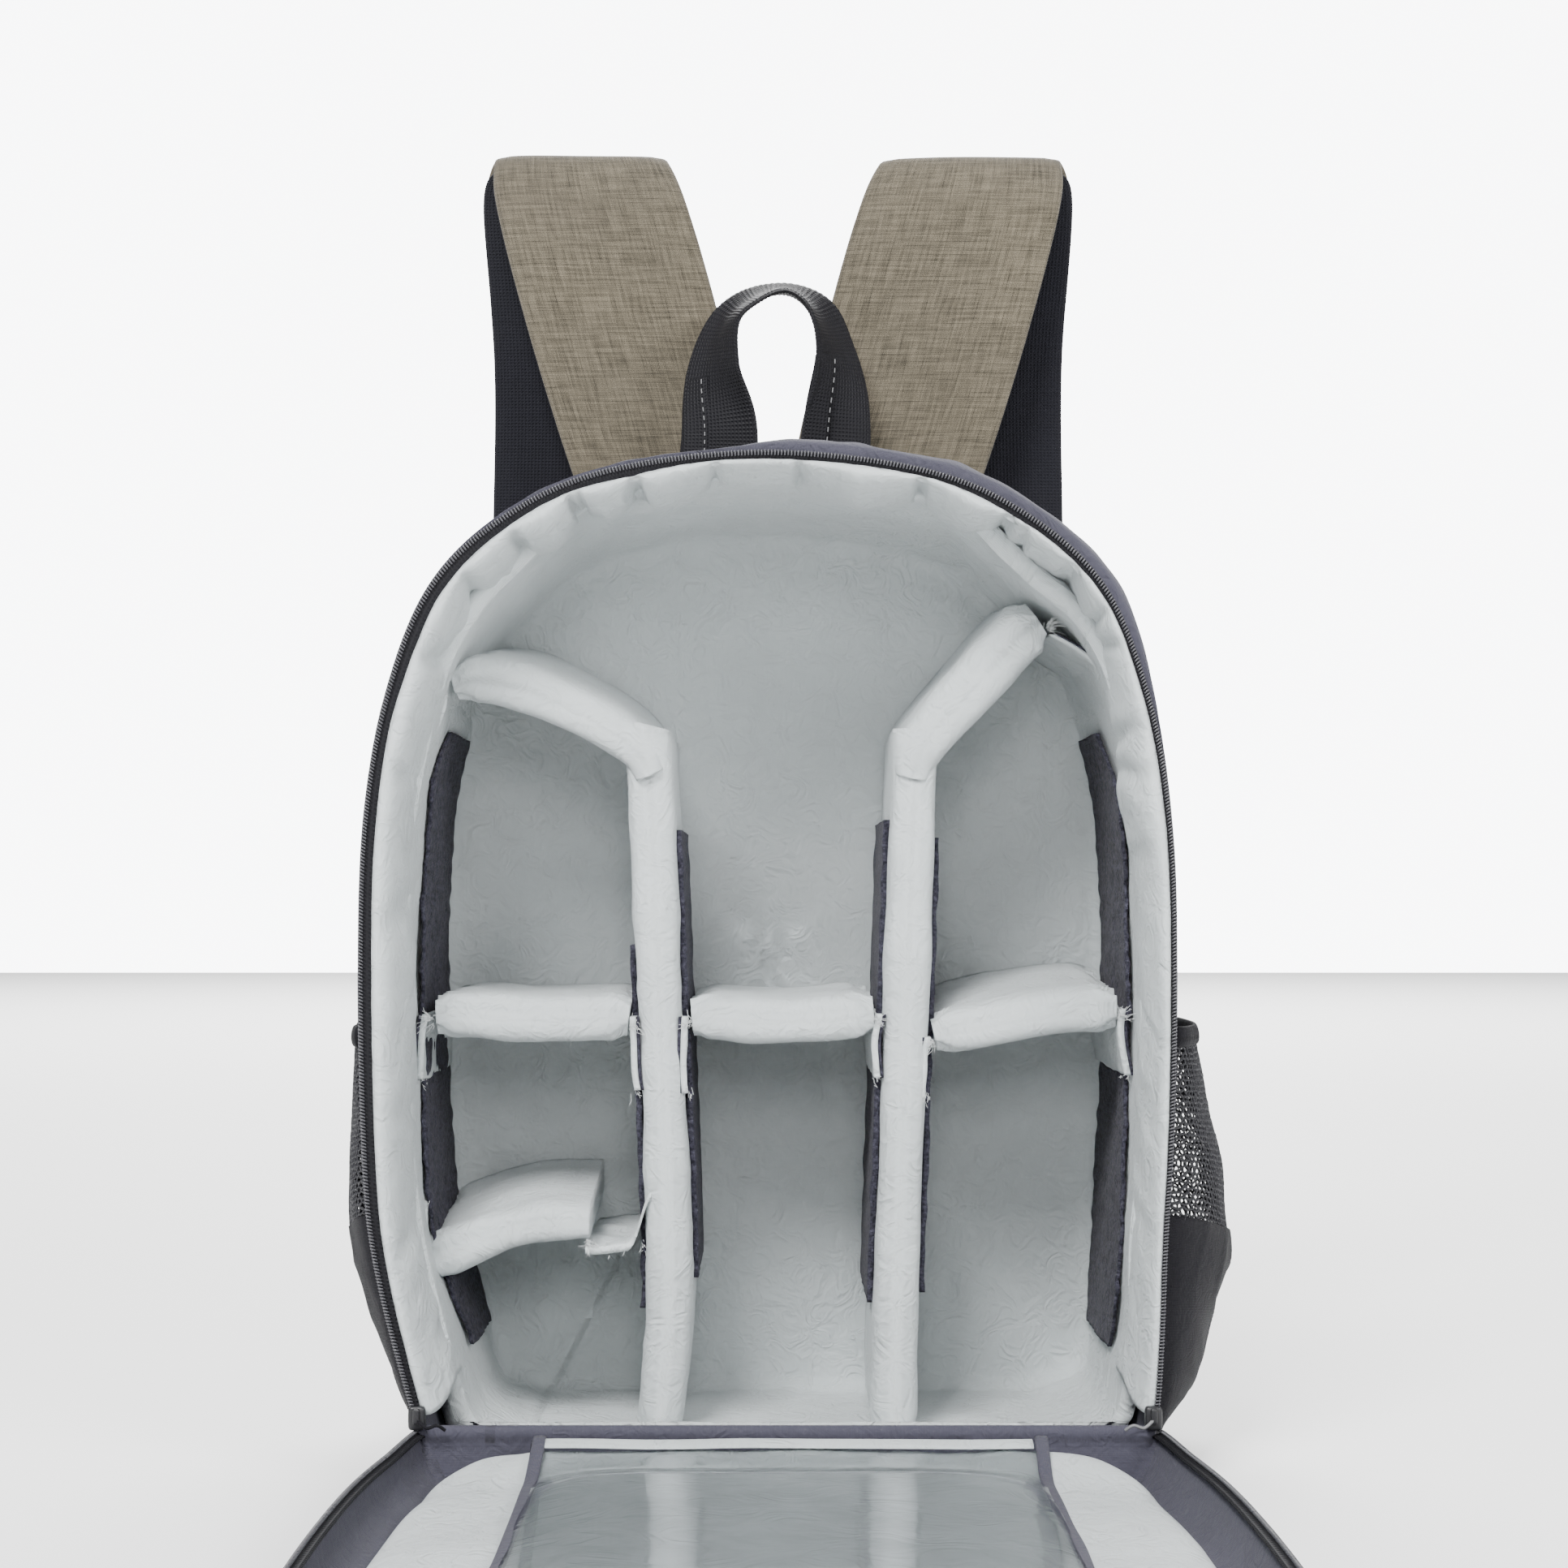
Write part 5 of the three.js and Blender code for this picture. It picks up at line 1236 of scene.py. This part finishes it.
def buildBackPanel():
    low, high = backPad["low"], backPad["high"]
    across = np.linspace(-1, 1, 96)[None, :]
    up = np.linspace(low, high, 110)[:, None]
    wide = -archXAt(shareAtUp(up)) * (body["halfWidth"] - body["taper"]) - 1.6 * body["backRound"]
    columns, rows = np.array(backColumns), np.array(backRows)
    keep = np.interp(across, columns[:, 0], columns[:, 1]) * np.ones_like(up)
    keep = np.minimum(keep, np.interp(up, rows[:, 0], rows[:, 1]))
    ends = np.minimum(np.minimum(up - low, high - up) * 60, 1)
    edge = np.minimum(np.abs(np.abs(across) - 1) * 20, 1) * ends
    swell = 1 * mm + edge * (backPad["pad"] - backPad["channel"] - 1 * mm) + backPad["channel"] * ease(keep)
    swell = swell + 0.7 * mm * ripples(across * 0.1, up * 0.4, 0.06, 44) * edge
    x, z = np.broadcast_arrays(across * wide, up * body["height"])
    top = np.stack([x, body["backY"] + swell, z], -1)
    under = np.stack([x, np.full(x.shape, body["backY"] + 0.2 * mm), z], -1)
    addPiece("backPadding", sheetParts(top, under), "mesh", ["back_panel"])


buildStraps()
buildHandle()
buildBackPanel()
print("straps, handle and back built")


# Side pockets: a solid panel below and a net above, gathered by an elastic hem

pocket = {
    "top": 174 * mm, "split": 82 * mm, "bottom": 14 * mm, "splitRise": 20 * mm,
    "bulge": {"left": 17 * mm, "right": 36 * mm},
    "wall": 1.5 * mm, "hem": 8 * mm, "hemPad": 2.6 * mm,
    "frontY": -59.2 * mm, "backY": 62 * mm,
    "cell": 3.3 * mm, "strand": 0.42 * mm,
}
pocketRows = [(0, 0.02), (0.05, 0.5), (0.16, 0.7), (0.29, 0.82), (0.42, 1), (0.54, 0.95), (0.66, 0.83),
              (0.76, 0.7), (0.86, 0.56), (1, 0.44)]


def pocketPoint(side, share, height, lift=0.0):
    y = mix(pocket["frontY"], pocket["backY"], share)
    up = height / (body["height"] - taperAt(y))
    wall = -side * archXAt(shareAtUp(up)) * (body["halfWidth"] - taperAt(y)) + leanAt(up)
    rise = (height - pocket["bottom"]) / (pocket["top"] - pocket["bottom"])
    rows = np.array(pocketRows)
    arch = np.sin(math.pi * np.clip(share, 0, 1)) ** 0.6
    soft = sum(np.interp(rise + s, rows[:, 0], rows[:, 1]) for s in (-0.04, 0, 0.04)) / 3
    sag = arch * ease(rise * 4) * (1.5 * mm * ripples(y, height, 0.05, 55 + side))
    out = np.maximum(pocket["bulge"]["right" if side > 0 else "left"] * soft * arch + sag, 0.4 * mm)
    return np.stack(np.broadcast_arrays(wall + side * (0.4 * mm + out + lift), y, height), -1)


def splitAt(share):
    return pocket["split"] + pocket["splitRise"] * (1 - share) ** 2


def netParts(side):
    # a honeycomb of knitted strands, a little irregular
    size = pocket["cell"]
    low, high = pocket["split"] - 1 * mm, pocket["top"] - pocket["hem"] + 1 * mm
    stretch = 1.12 if side < 0 else 1.25
    columns = int((pocket["backY"] - pocket["frontY"]) * stretch / size)
    rows = int((high - low) / (size * 0.8))
    random = np.random.default_rng(66 + side)
    # two knots for each cell, joined upward and to both sides
    column, row = np.meshgrid(np.arange(columns + 1), np.arange(rows + 1))
    share = (column + 0.5 * (row % 2)) / (columns + 0.5)
    jitter = random.normal(0, 0.1, (2, 2) + row.shape)
    lower, upper = (np.stack([share + moved[0] / columns, row + rise + moved[1]], -1)
                    for rise, moved in zip((0.16, 0.62), jitter))
    starts, ends = [lower], [upper]
    for shift in (0, 1):
        for odd in (0, 1):
            pick = row[:-1, 0] % 2 == odd
            step = shift if odd else shift - 1
            source, target = upper[:-1][pick], lower[1:][pick]
            if step == 1:
                source, target = source[:, :-1], target[:, 1:]
            elif step == -1:
                source, target = source[:, 1:], target[:, :-1]
            starts.append(source)
            ends.append(target)

    def lay(grids):
        grid = np.concatenate([grid.reshape(-1, 2) for grid in grids])
        along = np.clip(grid[:, 0], 0, 1)
        up = np.clip(grid[:, 1] / (rows + 0.6), 0, 1)
        return pocketPoint(side, along, mix(splitAt(along) - 1 * mm, high, up), 0.6 * mm)

    first, last = lay(starts), lay(ends)
    keep = np.linalg.norm(last - first, axis=1) > 0.2 * mm
    first, last = first[keep], last[keep]
    along = unit(last - first)
    out = unit(np.cross(along, np.array([0.02, 0.3, 1.0])))
    other = np.cross(along, out)
    thick = pocket["strand"] * random.uniform(0.85, 1.3, (len(first), 1, 1))
    ring = np.stack([out, other * 1.2, -out, -other * 1.2], 1) * thick
    points = np.concatenate([first[:, None] - along[:, None] * 0.2 * mm + ring,
                             last[:, None] + along[:, None] * 0.2 * mm + ring], 1)
    sides = [[k, (k + 1) % 4, 4 + (k + 1) % 4, 4 + k] for k in range(4)]
    base = np.array(sides + [[3, 2, 1, 0], [4, 5, 6, 7]])
    faces = (base[None] + 8 * np.arange(len(first))[:, None, None]).reshape(-1, 4)
    return points.reshape(-1, 3), faces.tolist(), np.zeros((8 * len(first), 2))


def buildPockets():
    for side, name in ((-1, "left"), (1, "right")):
        share = np.linspace(0, 1, 64)[None, :]
        height = mix(pocket["bottom"], splitAt(share), np.linspace(0, 1, 48)[:, None])
        y = mix(pocket["frontY"], pocket["backY"], share)
        fold = 1.1 * mm * creases(y, height, 0.045, 57 + side) * np.sin(math.pi * share) ** 0.5
        top = pocketPoint(side, share, height, pocket["wall"] + fold)
        under = pocketPoint(side, share, height, fold)
        addPiece(f"pocketCloth_{name}", sheetParts(top, under), "black", [f"pocket_panel_{name}"])
        addPiece(f"pocketMesh_{name}", netParts(side), "netCord", [f"pocket_net_{name}"])
        along = np.linspace(0, 1, 260)
        gather = 0.35 * mm * np.sin(along * 2 * math.pi * 52) * np.sin(math.pi * along)
        rows = []
        for turn in np.linspace(0, 2 * math.pi, 17)[:-1]:
            lift = pocket["hemPad"] / 2 * (1 + math.cos(turn)) + gather * (0.6 + 0.4 * math.cos(turn))
            high = pocket["top"] - pocket["hem"] / 2 + pocket["hem"] / 2 * math.sin(turn) + 0.3 * gather
            rows.append(pocketPoint(side, along, high, lift))
        grid = np.stack(rows, 1)
        hem = grid.reshape(-1, 3), ringFaces(*grid.shape[:2]), gridUv(grid)
        addPiece(f"pocketHem_{name}", hem, "black", [f"pocket_hem_{name}"])


buildPockets()
print("pockets built")


# Flap: a shallow tray of the outer cloth, a grey pad, a clear pocket and its half of the zip

flap = {
    "border": 11 * mm,
    "rim": 19 * mm,
    "hingeRim": 20.6 * mm,
    "padTop": 8.4 * mm,
    "slope": 40 * mm,
    "backY": -71 * mm,
    "start": 8.8 * mm,       # from the hinge to the pad and the clear pocket
    "padInset": 13.8 * mm,
    "padDeep": 5.4 * mm,
    "padUnder": 5.8 * mm,
    "cornerDrop": 22 * mm,
    "windowHalf": 96 * mm,
    "windowLength": 300 * mm,
    "windowRise": 7.5 * mm,
    "film": 0.5 * mm,
    "binding": 5 * mm,
    "bindingPad": 1.4 * mm,
    "hemAt": 12.5 * mm,      # from the hinge to the middle of the film's hem
}
flapStart = body["hinge"] + body["hingeClear"]
flapLength = body["height"] - flapStart
# the border from the outside round to the inside: how far in, in mm, and share of its height
flapProfile = [
    (11, 0), (8.6, 0.01), (5.5, 0.12), (2.6, 0.36), (0.8, 0.66), (0, 0.9), (0.2, 0.98),
    (0.9, 1.03), (1.8, 0.99), (2.4, 0.9), (4.4, 0.6), (7.5, 0.34), (10.5, 0.18), (13, 0.105),
]


def flapRise(along):
    return 1 - ease(along / flap["slope"])


def flapRimAt(along):
    return mix(flap["rim"], flap["hingeRim"], flapRise(along))


def padTopAt(along):
    return mix(flap["padTop"], flap["hingeRim"] - 0.4 * mm, flapRise(along))


def flapPoint(share, inset, heightAt):
    up = np.interp(share, archAt, archLine[:, 1])
    along = np.maximum(up * (body["height"] - inset) - flapStart, inset / 2)
    wide = archXAt(share) * (body["halfWidth"] - inset) + body["footLean"]
    return np.stack(np.broadcast_arrays(wide, flap["backY"] - along, heightAt(along)), -1).astype(float)


def flapRing(inset, heightAt, soft=0.0):
    share = np.clip(ringShare, hingeShare, 1 - hingeShare)
    point = mix(flapPoint(share, inset, heightAt), flapPoint(hingeShare, inset, heightAt), ringBase[:, None])
    if soft:
        away = ease((flap["backY"] - point[:, 1]) / (25 * mm))
        wave = ripples(share, 0 * share, 0.055, 81) + 0.5 * ripples(share, 0 * share, 0.02, 82)
        out = unit(point - np.array([body["footLean"], -0.24, 0]))
        point = point + out * (soft * away * wave)[:, None] * np.array([1, 1, 0])
    point[:, 2] = np.maximum(point[:, 2], 0.0)
    return point


def buildFlapShell():
    middle = body["halfWidth"] * 0.9
    rows = []
    for share in (0.3, 0.65, 0.9):
        rows.append(flapRing(mix(middle, flap["border"], share), lambda along: 0 * along))
    for number, (inset, rise) in enumerate(flapProfile):
        soft = 1.6 * mm * math.sin(math.pi * min(1, (number + 0.4) / 9))
        rows.append(flapRing(inset * mm, lambda along, rise=rise: rise * flapRimAt(along), soft))
    for share in (0.9, 0.5, 0.25):
        rows.append(flapRing(mix(middle, 13 * mm, share), lambda along: 2 * mm + 0 * along))
    addPiece("flapCloth", cupParts(rows), "shell", ["flap_shell"])


def padHalfAt(along):
    up = (along + flapStart) / (body["height"] - flap["padInset"])
    half = -archXAt(shareAtUp(up)) * (body["halfWidth"] - flap["padInset"])
    return half - 0.8 * mm - flap["cornerDrop"] * flapRise(along) ** 2


def buildFlapPad():
    start, end = flap["start"], flapLength - flap["padInset"] - 0.02 * body["height"]
    quarter = math.pi / 2
    along = mix(start, end, (np.sin(np.linspace(-quarter, quarter, 110)) / 2 + 0.5)[:, None])
    across = np.sin(np.linspace(-quarter, quarter, 80))[None, :]
    tip = np.clip(np.minimum(along - start, end - along) / (7 * mm), 0, 1)
    edge = (1 - np.abs(across) ** 14) ** 0.5 * np.sqrt(1 - (1 - tip) ** 2)
    soft = 1.3 * mm * ripples(across * 0.14, along, 0.07, 91)
    soft = soft + 0.9 * mm * creases(across * 0.14, along, 0.1, 92)
    x, y = np.broadcast_arrays(body["footLean"] + across * padHalfAt(along), flap["backY"] - along)
    top = np.stack([x, y, padTopAt(along) - flap["padDeep"] + edge * (flap["padDeep"] + soft)], -1)
    under = np.stack([x, y, np.broadcast_to(padTopAt(along) - flap["padUnder"], x.shape)], -1)
    addPiece("flapPadding", sheetParts(top, under), "lining", ["flap_pad"])


def buildWindow():
    half, length, lean = flap["windowHalf"], flap["windowLength"], body["footLean"]
    along = np.linspace(flap["start"], length, 96)[:, None]
    across = np.linspace(-1, 1, 64)[None, :]
    loose = ease((along - 14 * mm) / (34 * mm)) * (1 - 0.75 * ease((along - 0.27) / 0.03))
    rise = flap["windowRise"] * np.clip(1 - np.abs(across) ** 5, 0, 1) ** 0.8
    wave = 0.45 * mm * ripples(across * 0.1, along, 0.13, 95)
    film = padTopAt(along) + 1.3 * mm + (rise + wave * (1 - across ** 8)) * loose
    x, y = np.broadcast_arrays(lean + across * half, flap["backY"] - along)
    top = np.stack([x, y, film + flap["film"]], -1)
    addPiece("clearPocket", sheetParts(top, top - [0, 0, flap["film"]]), "film", ["flap_window"])
    line = np.linspace(flap["start"], length + 1 * mm, 120)
    for side, name in ((-1, "left"), (1, "right")):
        seat = padTopAt(line) + 2.2 * mm + 0.4 * mm * ripples(line, 0 * line, 0.06, 97)
        x = lean + side * (half - flap["binding"] / 2) + 0.5 * mm * ripples(line, 0 * line, 0.09, 98)
        centre = np.stack([x, flap["backY"] - line, seat], -1)
        sideways = np.tile([1.0, 0, 0], (120, 1))
        outward = unit(np.cross(sideways, unit(np.gradient(centre, axis=0)))) * -1
        width = np.full(120, flap["binding"])
        band = bandParts(centre, sideways, outward, width, -0.5 * mm, flap["bindingPad"], 12, power=4)
        addPiece(f"filmBinding_{name}", band, "shell", [f"flap_binding_{name}"])
    reach = np.linspace(-1, 1, 90) * (half - flap["binding"] - 0.4 * mm)
    seat = padTopAt(flap["hemAt"]) + 2.3 * mm + 0.3 * mm * ripples(reach, 0 * reach, 0.05, 99)
    centre = np.stack([lean + reach, np.full(90, flap["backY"] - flap["hemAt"]), seat], -1)
    forward, upward = unit(np.tile([0, -1.0, -0.25], (90, 1))), unit(np.tile([0, -0.25, 1.0], (90, 1)))
    band = bandParts(centre, forward, upward, np.full(90, 7 * mm), -0.4 * mm, 1.2 * mm, 12, power=4)
    addPiece("filmHem", band, "lining", ["flap_hem"])


def buildFlapZip():
    share = evenShares(lambda share: flapPoint(share, 0.8 * mm, flapRimAt), zipper["pitch"])

    def teethAt(along):
        return flapRimAt(along) + 2 * mm

    line, inner = (flapPoint(share, inset * mm, teethAt) for inset in (1.2, 2.2))
    up = np.tile([0.0, 0, 1.0], (len(line), 1))
    addPiece("flapTeeth", teethParts(line, unit(inner - line), up), "teeth", ["flap_zip_teeth"])
    inset = np.linspace(0.2 * mm, 4.5 * mm, 6)[:, None]
    top = flapPoint(archShares(360)[None, :], inset, lambda along: flapRimAt(along) + 1.4 * mm - 0.25 * inset)
    addPiece("flapTape", sheetParts(top, top - [0, 0, 0.7 * mm]), "webbing", ["flap_zip_tape"])


buildFlapShell()
buildFlapPad()
buildWindow()
buildFlapZip()
print("flap built")

print("solids still shown:", [name for name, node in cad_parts.items() if not node.hide_render])
counts = {piece.name: sum(len(face.vertices) - 2 for face in piece.data.polygons)
          for piece in bpy.context.scene.objects if piece.type == "MESH" and not piece.hide_render}
print("triangles:", sum(counts.values()), "most:", max(counts, key=counts.get), max(counts.values()))
